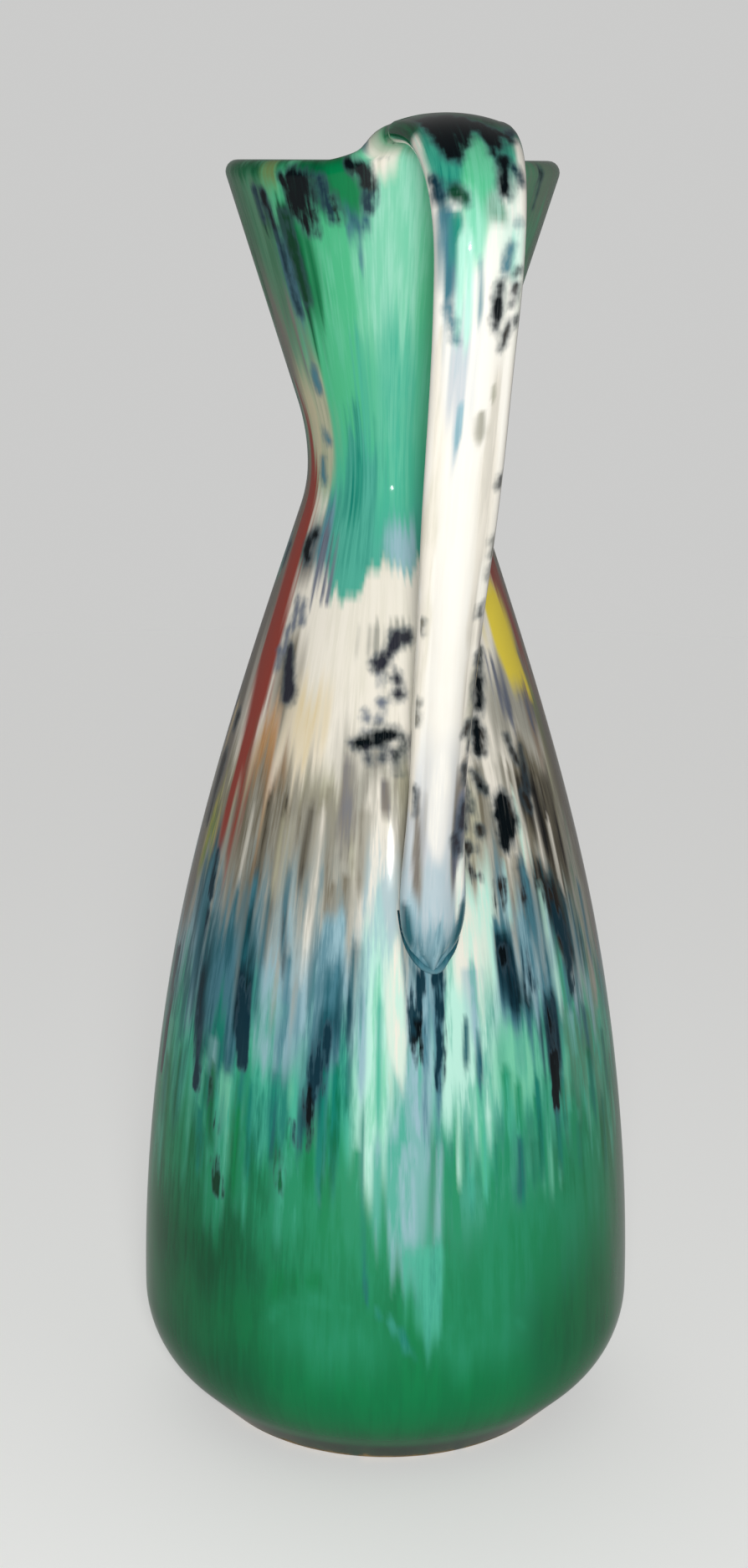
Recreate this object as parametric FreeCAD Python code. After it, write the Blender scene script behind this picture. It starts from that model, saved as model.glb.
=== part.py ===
"""Ceramic bud vase with a strap handle: a waisted, slip-cast body and one pulled strap.

Millimetres, +Z up.  The origin is on the vase's axis in the plane of its foot.
The handle stands on the -Y side, and X runs across it.
"""
import FreeCAD, Part
import math
import os

V = FreeCAD.Vector

# ---------------------------------------------------------------- body sizes
rim_height = 213.2             # top of the level part of the lip
rim_radius = 27.35             # outside of the flared mouth
flare_height = 48.2            # from the narrowest point of the neck up to the lip
waist_radius = 13.65
waist_upper_curve = 33.0       # hollow of the waist seen from the side, above its narrowest
waist_lower_curve = 21.5       # and below it
shoulder_lean = 18.5           # degrees off upright, just below the waist
hip_radius = 42.8              # fullest point of the belly
hip_curve_radius = 18.6        # rounding from the hip into the underside
foot_radius = 30.5             # outer edge of the foot
wall = 3.7                     # clay wall, measured square to it
floor_thickness = 5.5
foot_ring_width = 5.0          # unglazed ring that the vase stands on
foot_recess = 1.6              # depth of the hollow inside that ring

# the flank swells from shoulder to hip: share of its height, share of its swelling
flank_swelling = [(0.124, 0.205), (0.299, 0.476), (0.518, 0.749), (0.737, 0.920)]

# ------------------------------------------- tongue: the lip's rise to the strap
crest_rise = 6.8               # highest point of the vase, above the lip
joint_overhang = 10.65         # how far beyond the rim the tongue ends and the strap begins
tongue_width = 16.8
tongue_thickness = 4.3
tongue_bend_radius = 5.4       # middle of the wall where it bends over outwards
tongue_root_depth = 7.0        # how far below the lip the tongue grows out of the wall
tongue_root_width = 30.0

# -------------------------------------------------------------- strap handle
strap_overhang = 32.65         # middle of the strap where it is furthest out, beyond the rim
knee_drop = 17.0               # from the crest to where the strap runs straight down
knee_width = 13.0
ankle_height = 114.0           # narrowest stretch, just above the belly
ankle_gap = 5.9                # from the belly to the strap's inner face there
ankle_width = 9.2
landing_height = 96.0          # middle of the strap's foot, on the belly
landing_width = 10.4
toe_length = 7.6               # rounded end of the strap below the landing
strap_thickness = 5.0
strap_crown = 1.1              # how far its face stands out between its edges

# from joint to knee, and from knee to ankle: share outwards or inwards, share down, width share
shoulder_line = [(0.346, 0.034, 0.16), (0.673, 0.190, 0.42), (0.888, 0.486, 0.72)]
shank_line = [
    (0.026, 0.083, 0.12), (0.105, 0.169, 0.24), (0.298, 0.348, 0.36), (0.465, 0.483, 0.50),
    (0.658, 0.640, 0.79), (0.846, 0.809, 0.95),
]

# ------------------------------------------------------------------ slip joints
seam_thickness = 0.6           # slip between the tongue and the strap
bead_height = 0.8              # slip worked round the strap's lower end
bead_width = 0.8

# ------------------------------------------------------------- places that follow
waist_height = rim_height - flare_height
crest_height = rim_height + crest_rise
knee_height = crest_height - knee_drop
joint_reach = rim_radius + joint_overhang
strap_reach = rim_radius + strap_overhang


# ------------------------------------------------------------------ body form
def polar(centre, radius, degrees):
    """Point of a circle in the XZ plane, counted from +X towards +Z."""
    angle = math.radians(degrees)
    return centre + V(math.cos(angle) * radius, 0, math.sin(angle) * radius)


def arc(centre, radius, first, last):
    ends = [polar(centre, radius, a) for a in (first, (first + last) / 2.0, last)]
    return Part.Arc(*ends).toShape()


def line(start, end):
    return Part.LineSegment(start, end).toShape()


def between(start, end, share):
    return start + (end - start) * share


class Outline:
    """Side view of the body's wall, moved outwards by offset: foot, hip, flank, waist and flare."""

    def __init__(self, offset=0.0):
        self.offset = offset
        self.upper_centre = V(waist_radius + waist_upper_curve, 0, waist_height)
        self.lower_centre = V(waist_radius + waist_lower_curve, 0, waist_height)
        # the flare is the straight line from the lip that just touches the waist's curve
        spoke = V(rim_radius, 0, rim_height) - self.upper_centre
        touch = math.asin(waist_upper_curve / spoke.Length)
        self.flare = math.degrees(touch - math.atan2(-spoke.x, spoke.z))
        # the underside leaves the foot at 45 degrees and runs into the hip's rounding
        half = math.sqrt(0.5)
        self.hip_height = hip_radius - foot_radius - hip_curve_radius * (1 - 2 * half)
        self.hip_centre = V(hip_radius - hip_curve_radius, 0, self.hip_height)
        self.hip_curve = hip_curve_radius + offset
        self.foot = V(foot_radius + offset * half, 0, -offset * half)
        self.flank = self.make_flank()

    def make_flank(self):
        """Smooth curve from the waist down to the hip, square to which the offset is taken."""
        top = polar(self.lower_centre, waist_lower_curve, 180.0 + shoulder_lean)
        bottom = V(hip_radius, 0, self.hip_height)
        drop = top.z - bottom.z
        swell = bottom.x - top.x
        middle = [V(top.x + share * swell, 0, top.z - depth * drop) for depth, share in flank_swelling]
        lean = math.radians(shoulder_lean)
        points = [top] + middle + [bottom]
        curve = Part.BSplineCurve()
        start = V(math.sin(lean), 0, -math.cos(lean)) * drop
        curve.interpolate(Points=points, InitialTangent=start, FinalTangent=V(0, 0, -drop))
        if self.offset:
            moved = []
            for point in points:
                tangent = curve.tangent(curve.parameter(point))[0]
                moved.append(point + V(-tangent.z, 0, tangent.x) * self.offset)
            curve = Part.BSplineCurve()
            curve.interpolate(Points=moved, InitialTangent=start, FinalTangent=V(0, 0, -drop))
        return curve

    def flare_point(self, height):
        """Point of the straight flare above the waist."""
        start = polar(self.upper_centre, waist_upper_curve - self.offset, 180.0 - self.flare)
        return start + V(math.tan(math.radians(self.flare)), 0, 1) * (height - start.z)

    def wall_edges(self, top_height):
        """From the hip up to the given height on the flare."""
        upper = waist_upper_curve - self.offset
        lower = waist_lower_curve - self.offset
        return [
            self.flank.toShape(),
            arc(self.lower_centre, lower, 180.0 + shoulder_lean, 180.0),
            arc(self.upper_centre, upper, 180.0, 180.0 - self.flare),
            line(polar(self.upper_centre, upper, 180.0 - self.flare), self.flare_point(top_height)),
        ]


def face_from(edges):
    return Part.Face(Part.Wire(Part.__sortEdges__(edges)))


def turned(face):
    return face.revolve(V(0, 0, 0), V(0, 0, 1), 360)


def radius_at(outline, height):
    """Radius of the flank at a height between the hip and the waist."""
    level = Part.LineSegment(V(0, 0, height), V(2 * hip_radius, 0, height))
    return outline.flank.intersect(level)[0].X


def make_turned_body(outside, inside):
    """The thrown shape: foot ring, belly, waist and flare, with a rounded level lip."""
    lean = math.radians(outside.flare)
    across = V(math.cos(lean), 0, -math.sin(lean))
    along = V(math.sin(lean), 0, math.cos(lean))
    lip_radius = wall / 2.0
    lip_centre_z = rim_height - lip_radius
    middle = Outline(-lip_radius).flare_point(lip_centre_z)
    outer_end = middle + across * lip_radius
    inner_end = middle - across * lip_radius
    ring_inside = foot_radius - foot_ring_width
    # the wall runs down to the inner foot, and the floor is a thick disc let into it
    edges = [line(outside.foot, polar(outside.hip_centre, outside.hip_curve, -45))]
    edges += [arc(outside.hip_centre, outside.hip_curve, -45, 0)]
    edges += outside.wall_edges(outer_end.z)
    edges += [Part.Arc(outer_end, middle + along * lip_radius, inner_end).toShape()]
    edges += inside.wall_edges(inner_end.z)
    edges += [
        arc(inside.hip_centre, inside.hip_curve, -45, 0),
        line(polar(inside.hip_centre, inside.hip_curve, -45), inside.foot),
        line(inside.foot, V(0, 0, inside.foot.z)),
        line(V(0, 0, inside.foot.z), V(0, 0, foot_recess)),
        line(V(0, 0, foot_recess), V(ring_inside - foot_recess, 0, foot_recess)),
        line(V(ring_inside - foot_recess, 0, foot_recess), V(ring_inside, 0, 0)),
        line(V(ring_inside, 0, 0), outside.foot),
    ]
    floor_bottom = between(foot_recess, inside.foot.z, 0.5)
    floor_radius = inside.foot.x + floor_thickness - inside.foot.z
    floor = Part.makeCone(
        floor_radius - floor_thickness + floor_bottom + wall / 2.0, floor_radius + wall / 2.0,
        floor_thickness - floor_bottom, V(0, 0, floor_bottom),
    )
    return turned(face_from(edges)).fuse(floor)


# ------------------------------------------------------------- strap sections
def section(centre, heading, width, thickness, crown=0.0, bow=0.02):
    """Rounded strap section square to its heading.

    Its face looks inwards on the wall, up on the crest and outwards on the strap.
    crown lifts the middle of that face, and bow bends the whole section back at its edges.
    """
    heading = V(0, heading.y, heading.z).normalize()
    face = V(0, heading.z, -heading.y)
    half = width / 2.0
    edge = (thickness - crown) / 2.0
    flat = half - edge * 0.9

    def at(across, out):
        return centre + V(across, 0, 0) + face * out

    top = thickness / 2.0
    side = top - crown + bow
    wire = [
        Part.Arc(at(-flat, side), at(0, top), at(flat, side)).toShape(),
        Part.Arc(at(flat, side), at(half, side - edge), at(flat, bow - top)).toShape(),
        Part.Arc(at(flat, bow - top), at(0, -top), at(-flat, bow - top)).toShape(),
        Part.Arc(at(-flat, bow - top), at(-half, side - edge), at(-flat, side)).toShape(),
    ]
    return Part.Wire(wire)


def make_tongue(outside):
    """The lip's rise: out of the wall, narrowing in a sweep, then bent over to the joint."""
    lean = math.radians(outside.flare)
    up = V(0, -math.sin(lean), math.cos(lean))
    middle = Outline(-wall / 2.0)
    thin = wall - 0.3
    strap_middle = crest_height - tongue_thickness / 2.0
    centre_z = strap_middle - tongue_bend_radius
    bend_start = middle.flare_point(centre_z + tongue_bend_radius * math.sin(lean))
    bend_centre = V(0, -bend_start.x - tongue_bend_radius * math.cos(lean), centre_z)
    root_z = rim_height - tongue_root_depth
    wires = []
    # up the wall: share of the way to the bend, share of the root's spare width that is left
    for share, spare in ((0.0, 1.0), (0.25, 0.95), (0.5, 0.87), (0.75, 0.75), (0.9, 0.47), (1.0, 0.14)):
        point = middle.flare_point(between(root_z, bend_start.z, share))
        width = between(tongue_width * 1.07, tongue_root_width, spare)
        bow = point.x - math.sqrt(point.x ** 2 - (width / 2.0 - thin / 2.0) ** 2)
        wires.append(section(V(0, -point.x, point.z), up, width, thin, 0.0, bow))
    # over the bend: share of the turn, width against the joint's, bow and crown in mm
    for share, wide, bow, crown in ((0.2, 1.06, 0.8, 0.5), (0.45, 0.93, 0.1, 1.2), (0.7, 0.85, 0.02, 1.7)):
        angle = lean + (math.pi / 2.0 - lean) * share
        heading = V(0, -math.sin(angle), math.cos(angle))
        face = V(0, heading.z, -heading.y)
        thickness = between(thin, tongue_thickness, share)
        centre = bend_centre + face * tongue_bend_radius
        wires.append(section(centre, heading, tongue_width * wide, thickness, crown, bow))
    # level, out to the joint
    for share, wide in ((0.0, 0.84), (0.25, 0.87), (0.5, 0.92), (0.75, 0.97), (1.0, 1.0)):
        centre = V(0, -between(-bend_centre.y, joint_reach, share), strap_middle)
        crown = between(1.8, strap_crown, share)
        wires.append(section(centre, V(0, -1, 0), tongue_width * wide, tongue_thickness, crown))
    return Part.makeLoft(wires, True, False, False, 3)


def strap_stations(outside):
    """Middle of the strap, its width and its thickness, from the joint to the tip of the toe."""
    joint = (joint_reach + seam_thickness, crest_height - tongue_thickness / 2.0)
    knee = (strap_reach, knee_height)
    ankle = (radius_at(outside, ankle_height) + ankle_gap + strap_thickness / 2.0, ankle_height)
    stations = [(joint[0], joint[1], tongue_width, tongue_thickness)]
    for out, down, slim in shoulder_line:
        stations.append((
            between(joint[0], knee[0], out),
            between(joint[1], knee[1], down),
            between(tongue_width, knee_width, slim),
            between(tongue_thickness, strap_thickness, slim),
        ))
    stations.append((knee[0], knee[1], knee_width, strap_thickness))
    for inwards, down, slim in shank_line:
        stations.append((
            between(knee[0], ankle[0], inwards),
            between(knee[1], ankle[1], down),
            between(knee_width, ankle_width, slim),
            strap_thickness,
        ))
    stations.append((ankle[0], ankle[1], ankle_width, strap_thickness))
    # on the belly: how far the strap's middle stands off the skin, as shares of its thickness
    belly = [
        (between(ankle_height, landing_height, 0.55), 0.86, between(ankle_width, landing_width, 0.9), 1.0),
        (landing_height, 0.36, landing_width * 0.96, 0.95),
        (landing_height - toe_length * 0.42, 0.08, landing_width * 0.76, 0.85),
        (landing_height - toe_length * 0.70, -0.08, landing_width * 0.50, 0.72),
        (landing_height - toe_length * 0.86, -0.07, landing_width * 0.26, 0.45),
    ]
    for height, off, width, share in belly:
        reach = radius_at(outside, height) + off * strap_thickness
        stations.append((reach, height, width, strap_thickness * share))
    return stations


def loft_stations(stations, first_heading=None, grown=0.0):
    """Loft of strap sections, each square to the smooth line through all of their middles."""
    points = [V(0, -reach, height) for reach, height, width, thickness in stations]
    spine = Part.BSplineCurve()
    spine.interpolate(Points=points)
    headings = [spine.tangent(spine.parameter(point))[0] for point in points]
    if first_heading:
        headings[0] = first_heading
    wires = []
    for point, heading, (reach, height, width, thickness) in zip(points, headings, stations):
        crown = strap_crown * min(1.0, width / knee_width)
        wires.append(section(point, heading, width + 2 * grown, thickness + 2 * grown, crown))
    return Part.makeLoft(wires, True, False, False, 3)


def filled(outline):
    """Solid of all that lies inside the outline between hip and waist."""
    upper = outline.flank.value(outline.flank.FirstParameter)
    lower = outline.flank.value(outline.flank.LastParameter)
    edges = [
        outline.flank.toShape(),
        line(upper, V(0, 0, upper.z)),
        line(V(0, 0, upper.z), V(0, 0, lower.z)),
        line(V(0, 0, lower.z), lower),
    ]
    return turned(face_from(edges))


def make_seam():
    """Thin layer of slip between the tongue's end and the strap."""
    middle = crest_height - tongue_thickness / 2.0
    near = section(V(0, -joint_reach, middle), V(0, -1, 0), tongue_width, tongue_thickness, strap_crown)
    return Part.Face(near).extrude(V(0, -seam_thickness, 0))


def make_bead(outside, stations, strap):
    """Slip worked into the corner all round the strap's lower end."""
    swollen = loft_stations(stations[-5:], grown=bead_width)
    skin = filled(Outline(bead_height)).cut(filled(outside))
    return swollen.common(skin).cut(strap)


def largest(shape):
    return max(shape.Solids, key=lambda solid: solid.Volume)


outside = Outline()
inside = Outline(-wall)
stations = strap_stations(outside)
strap = largest(loft_stations(stations, V(0, -1, 0)).cut(filled(outside)))
pieces = {
    "vase_body": largest(make_turned_body(outside, inside).fuse(make_tongue(outside))),
    "strap_handle": strap,
    "upper_slip_joint": make_seam(),
    "lower_slip_joint": largest(make_bead(outside, stations, strap)),
}

os.makedirs("parts", exist_ok=True)
for name, piece in pieces.items():
    piece.exportStep("parts/" + name + ".step")
    print(name, "valid" if piece.isValid() else "NOT VALID", round(piece.Volume / 1000.0, 2), "cm3")
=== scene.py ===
"""A drip-glazed ceramic bud vase: a turned body whose lip is pulled out into a strap handle."""
import math

import bpy
import numpy as np
from bpy.props import FloatProperty, FloatVectorProperty, PointerProperty
from mathutils import Matrix, Vector


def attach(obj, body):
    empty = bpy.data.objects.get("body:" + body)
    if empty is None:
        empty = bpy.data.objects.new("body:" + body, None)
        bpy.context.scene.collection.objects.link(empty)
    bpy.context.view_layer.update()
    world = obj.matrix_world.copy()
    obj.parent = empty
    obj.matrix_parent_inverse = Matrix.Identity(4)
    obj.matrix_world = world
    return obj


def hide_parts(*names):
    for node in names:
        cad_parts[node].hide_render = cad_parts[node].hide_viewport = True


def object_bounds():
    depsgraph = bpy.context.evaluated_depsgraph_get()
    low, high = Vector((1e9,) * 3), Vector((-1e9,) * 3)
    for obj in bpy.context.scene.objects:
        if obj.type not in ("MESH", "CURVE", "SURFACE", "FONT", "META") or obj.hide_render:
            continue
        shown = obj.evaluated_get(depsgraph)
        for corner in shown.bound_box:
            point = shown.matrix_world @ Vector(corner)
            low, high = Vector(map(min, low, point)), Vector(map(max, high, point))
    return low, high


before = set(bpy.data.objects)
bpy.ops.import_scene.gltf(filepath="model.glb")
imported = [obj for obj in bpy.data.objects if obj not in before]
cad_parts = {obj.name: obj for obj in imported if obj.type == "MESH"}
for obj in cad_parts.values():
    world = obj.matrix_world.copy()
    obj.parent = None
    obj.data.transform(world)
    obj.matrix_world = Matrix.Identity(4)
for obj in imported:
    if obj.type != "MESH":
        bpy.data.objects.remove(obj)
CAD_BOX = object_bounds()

bl_info = {
    "name": "Drip-Glazed Bud Vase",
    "version": (1, 0, 0),
    "blender": (4, 5, 0),
    "location": "View3D > Sidebar > Bud Vase",
    "description": "Turns, pulls and glazes a ceramic bud vase with a strap handle",
    "category": "Object",
}

MM = 0.001
VASE_HEIGHT = CAD_BOX[1].z
SHARP_ANGLE = 40               # degrees between faces, from which an edge is shaded sharp


# ------------------------------------------------------------------ properties
def length(name, description, default):
    return FloatProperty(name=name, description=description, default=default, unit="LENGTH", precision=5)


class VaseSizes(bpy.types.PropertyGroup):
    """Sizes of the thrown body, its tongue and its strap."""

    rim_height: length("Rim height", "Top of the level lip", VASE_HEIGHT - 6.8 * MM)
    rim_radius: length("Rim radius", "Outside of the flared mouth", 27.35 * MM)
    flare_height: length("Flare height", "From the narrowest point of the neck up to the lip", 48.2 * MM)
    waist_radius: length("Waist radius", "Outside of the neck where it is narrowest", 13.65 * MM)
    upper_curve: length("Upper waist curve", "Hollow of the waist above its narrowest point", 33.0 * MM)
    lower_curve: length("Lower waist curve", "Hollow of the waist below its narrowest point", 21.5 * MM)
    hip_radius: length("Hip radius", "Fullest point of the belly", 42.8 * MM)
    hip_curve: length("Hip curve", "Rounding from the hip into the underside", 18.6 * MM)
    foot_radius: length("Foot radius", "Outer edge of the foot", 30.5 * MM)
    wall: length("Wall", "Thickness of the clay wall", 3.7 * MM)
    floor: length("Floor", "Thickness of the floor", 5.5 * MM)
    joint_overhang: length("Joint overhang", "How far beyond the rim the strap is joined on", 10.65 * MM)
    tongue_width: length("Tongue width", "Width of the strap where it is joined on", 16.8 * MM)
    tongue_thickness: length("Tongue thickness", "Thickness of the strap at the joint", 4.3 * MM)
    tongue_bend: length("Tongue bend", "Radius of the tongue's turn over the lip", 5.4 * MM)
    tongue_root: length("Tongue root", "How far below the lip the wall begins to rise", 7.0 * MM)
    strap_overhang: length("Strap overhang", "Furthest middle of the strap beyond the rim", 32.65 * MM)
    knee_drop: length("Knee drop", "From the crest to where the strap hangs straight", 17.0 * MM)
    knee_width: length("Knee width", "Width of the strap below its shoulder", 13.0 * MM)
    ankle_height: length("Ankle height", "Height of the strap's narrowest stretch", 114.0 * MM)
    ankle_gap: length("Ankle gap", "From the belly to the strap there", 5.9 * MM)
    ankle_width: length("Ankle width", "Width of the strap there", 9.2 * MM)
    landing_height: length("Landing height", "Height at which the strap lies on the belly", 96.0 * MM)
    landing_width: length("Landing width", "Width of the strap there", 10.4 * MM)
    toe_length: length("Toe length", "Rounded end of the strap below the landing", 7.6 * MM)
    strap_thickness: length("Strap thickness", "Thickness of the hanging strap", 5.0 * MM)
    seam: length("Seam", "Layer of slip between the tongue and the strap", 0.6 * MM)
    bead: length("Bead", "Half thickness of the slip worked round the toe", 0.55 * MM)


def linear(code):
    """A colour written as six hex digits, as the linear numbers that Blender mixes."""
    parts = np.array([int(code[i:i + 2], 16) for i in (0, 2, 4)]) / 255
    return tuple(np.where(parts < 0.04045, parts / 12.92, ((parts + 0.055) / 1.055) ** 2.4).tolist())


def colour(name, description, code):
    return FloatVectorProperty(
        name=name, description=description, subtype="COLOR", size=3, min=0, max=1, default=linear(code),
    )


class VaseGlazes(bpy.types.PropertyGroup):
    """Fired colours of the glazes, and of the clay that they leave bare."""

    mint: colour("Mint", "Light green down the front of the neck", "76C8A6")
    leaf: colour("Leaf", "Mid green of the neck", "4AB482")
    sea: colour("Sea", "Blue-green where the neck's runs thicken", "48AE92")
    lagoon: colour("Lagoon", "Blue-green lobe over the shoulder", "50A894")
    teal: colour("Teal", "Pooled blue-green", "127A6A")
    jade: colour("Jade", "Lighter green of the lower belly", "1E8A60")
    fern: colour("Fern", "Green of the lower belly", "007C46")
    moss: colour("Moss", "Deep green", "00623A")
    bottle: colour("Bottle", "Darkest green", "003820")
    olive: colour("Olive", "Yellowish green", "6A8350")
    sage: colour("Sage", "Grey green", "547E64")
    mauve: colour("Mauve", "Warm grey at the sides", "7A746C")
    buff: colour("Buff", "Greenish cream", "B4B298")
    cream: colour("Cream", "Ground of the shoulder", "E6E0D3")
    white: colour("White", "Ground of the strap", "EDEAE1")
    frost: colour("Frost", "Palest green", "B4E2D2")
    pearl: colour("Pearl", "Pale grey low on the strap", "C4C8CB")
    stone: colour("Stone", "Middle grey", "A5A397")
    taupe: colour("Taupe", "Brownish grey", "6E6858")
    sand: colour("Sand", "Warm tan", "D6C49A")
    peach: colour("Peach", "Orange tan", "B08458")
    brick: colour("Brick", "Red stripe", "903E34")
    yellow: colour("Yellow", "Yellow patch", "E6D04A")
    mist: colour("Mist", "Pale lavender blue", "92B4BE")
    slate: colour("Slate", "Grey blue", "477886")
    petrol: colour("Petrol", "Deep green-blue", "1E5660")
    navy: colour("Navy", "Dark blue", "10303C")
    plum: colour("Plum", "Violet-grey spots of the shoulder", "2A2B34")
    iris: colour("Iris", "The same, thinner", "6C7280")
    umber: colour("Umber", "Brownish black", "26221E")
    ink: colour("Ink", "Near black", "060E12")
    clay: colour("Clay", "Bare foot ring", "C9A877")


# ------------------------------------------------------------------ small tools
def smooth_line(knots, values, at, first_slope=None, last_slope=None):
    """Cubic spline through values at the knots; natural at an end that has no slope."""
    knots = np.asarray(knots, float)
    values = np.asarray(values, float)
    n = len(knots)
    step = np.diff(knots)
    rise = np.diff(values) / step
    matrix = np.zeros((n, n))
    right = np.zeros(n)
    for i in range(1, n - 1):
        matrix[i, i - 1:i + 2] = step[i], 2 * (step[i - 1] + step[i]), step[i - 1]
        right[i] = 3 * (step[i] * rise[i - 1] + step[i - 1] * rise[i])
    for row, slope, other, side in ((0, first_slope, 1, 0), (n - 1, last_slope, n - 2, n - 2)):
        if slope is None:
            matrix[row, [row, other]] = 2, 1
            right[row] = 3 * rise[side]
        else:
            matrix[row, row] = 1
            right[row] = slope
    slopes = np.linalg.solve(matrix, right)
    at = np.asarray(at, float)
    i = np.clip(np.searchsorted(knots, at) - 1, 0, n - 2)
    u = (at - knots[i]) / step[i]
    a, b = values[i], values[i + 1]
    da, db = slopes[i] * step[i], slopes[i + 1] * step[i]
    return a + u * (da + u * (3 * (b - a) - 2 * da - db + u * (2 * (a - b) + da + db)))


def passed(points):
    """Distance passed at each of a row of flat points, from the first."""
    return np.r_[0, np.cumsum(np.hypot(*np.diff(points, axis=0).T))]


def smooth_route(points, spacing):
    """Points along a smooth line through rows of numbers, spaced by their first two columns."""
    points = np.asarray(points, float)
    run = passed(points[:, :2])
    at = np.linspace(0, run[-1], max(2, int(round(run[-1] / spacing)) + 1))
    return np.column_stack([smooth_line(run, column, at) for column in points.T])


def mix(start, end, share):
    return start + (end - start) * share


def ease(value):
    value = np.clip(value, 0.0, 1.0)
    return value * value * (3 - 2 * value)


def arc(centre, radius, first, last, steps):
    angles = np.radians(np.linspace(first, last, steps + 1))
    return np.column_stack((centre[0] + radius * np.cos(angles), centre[1] + radius * np.sin(angles)))


def straight(start, end, steps):
    return np.linspace(start, end, steps + 1)


def unit(vectors):
    return vectors / np.linalg.norm(vectors, axis=-1)[..., None]


def round_axis(points):
    """Azimuth of points from the handle's side, growing towards +X, and their distance from the axis."""
    return np.arctan2(points[:, 0], -points[:, 1]), np.hypot(points[:, 0], points[:, 1])


def on_ring(azimuth, radius, height):
    return np.column_stack((radius * np.sin(azimuth), -radius * np.cos(azimuth), height))


def deselect_all():
    if bpy.context.mode != "OBJECT":
        bpy.ops.object.mode_set(mode="OBJECT")
    bpy.ops.object.select_all(action="DESELECT")


def activate(piece):
    deselect_all()
    piece.select_set(True)
    bpy.context.view_layer.objects.active = piece


def coordinates(piece):
    flat = np.zeros(len(piece.data.vertices) * 3)
    piece.data.vertices.foreach_get("co", flat)
    return flat.reshape(-1, 3)


def place(piece, points):
    piece.data.vertices.foreach_set("co", np.ascontiguousarray(points).ravel())
    piece.data.update()


def finish_surface(piece):
    """Turn the normals outwards and shade smooth, but for sharp edges."""
    activate(piece)
    bpy.ops.object.mode_set(mode="EDIT")
    bpy.ops.mesh.select_all(action="SELECT")
    bpy.ops.mesh.normals_make_consistent(inside=False)
    bpy.ops.object.mode_set(mode="OBJECT")
    bpy.ops.object.shade_smooth_by_angle(angle=math.radians(SHARP_ANGLE))


# --------------------------------------------------------------- form of the body
# the flank swells from shoulder to hip: share of its height, share of its swelling
FLANK = ((0, 0), (0.124, 0.205), (0.299, 0.476), (0.518, 0.749), (0.737, 0.920), (1, 1))
FLANK_STEPS = 200              # in which it is followed to look up its radius
SHOULDER_LEAN = 18.5           # degrees off upright, just below the waist
# rings of the mesh on the hip, flank, lower waist, upper waist and flare
OUTER_ROWS = (15, 112, 7, 11, 27)
INNER_ROWS = (6, 36, 5, 7, 12)
ROOT_ROWS = 18                 # from the tongue's root up to the lip
LIP_ROWS = 10
SKIRT_ROWS = 9
HOLLOW_ROWS = 4
# section of the foot ring: how far in from its edge, and its height, in mm
FOOT_RING = ((6.1, 1.5), (5.2, 0.3), (4.7, 0), (2.4, 0), (0.35, 0), (-0.05, 0.15))
HOLLOW = (6.6, 1.6)            # mm: where the hollow within the ring begins, and its height
FOOT_CHAMFER = 0.4             # mm
BOWL_TURN = 4.0                # mm in which the inside turns from wall to floor
BOWL_SPACING = 3.0             # mm between its rings


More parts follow.
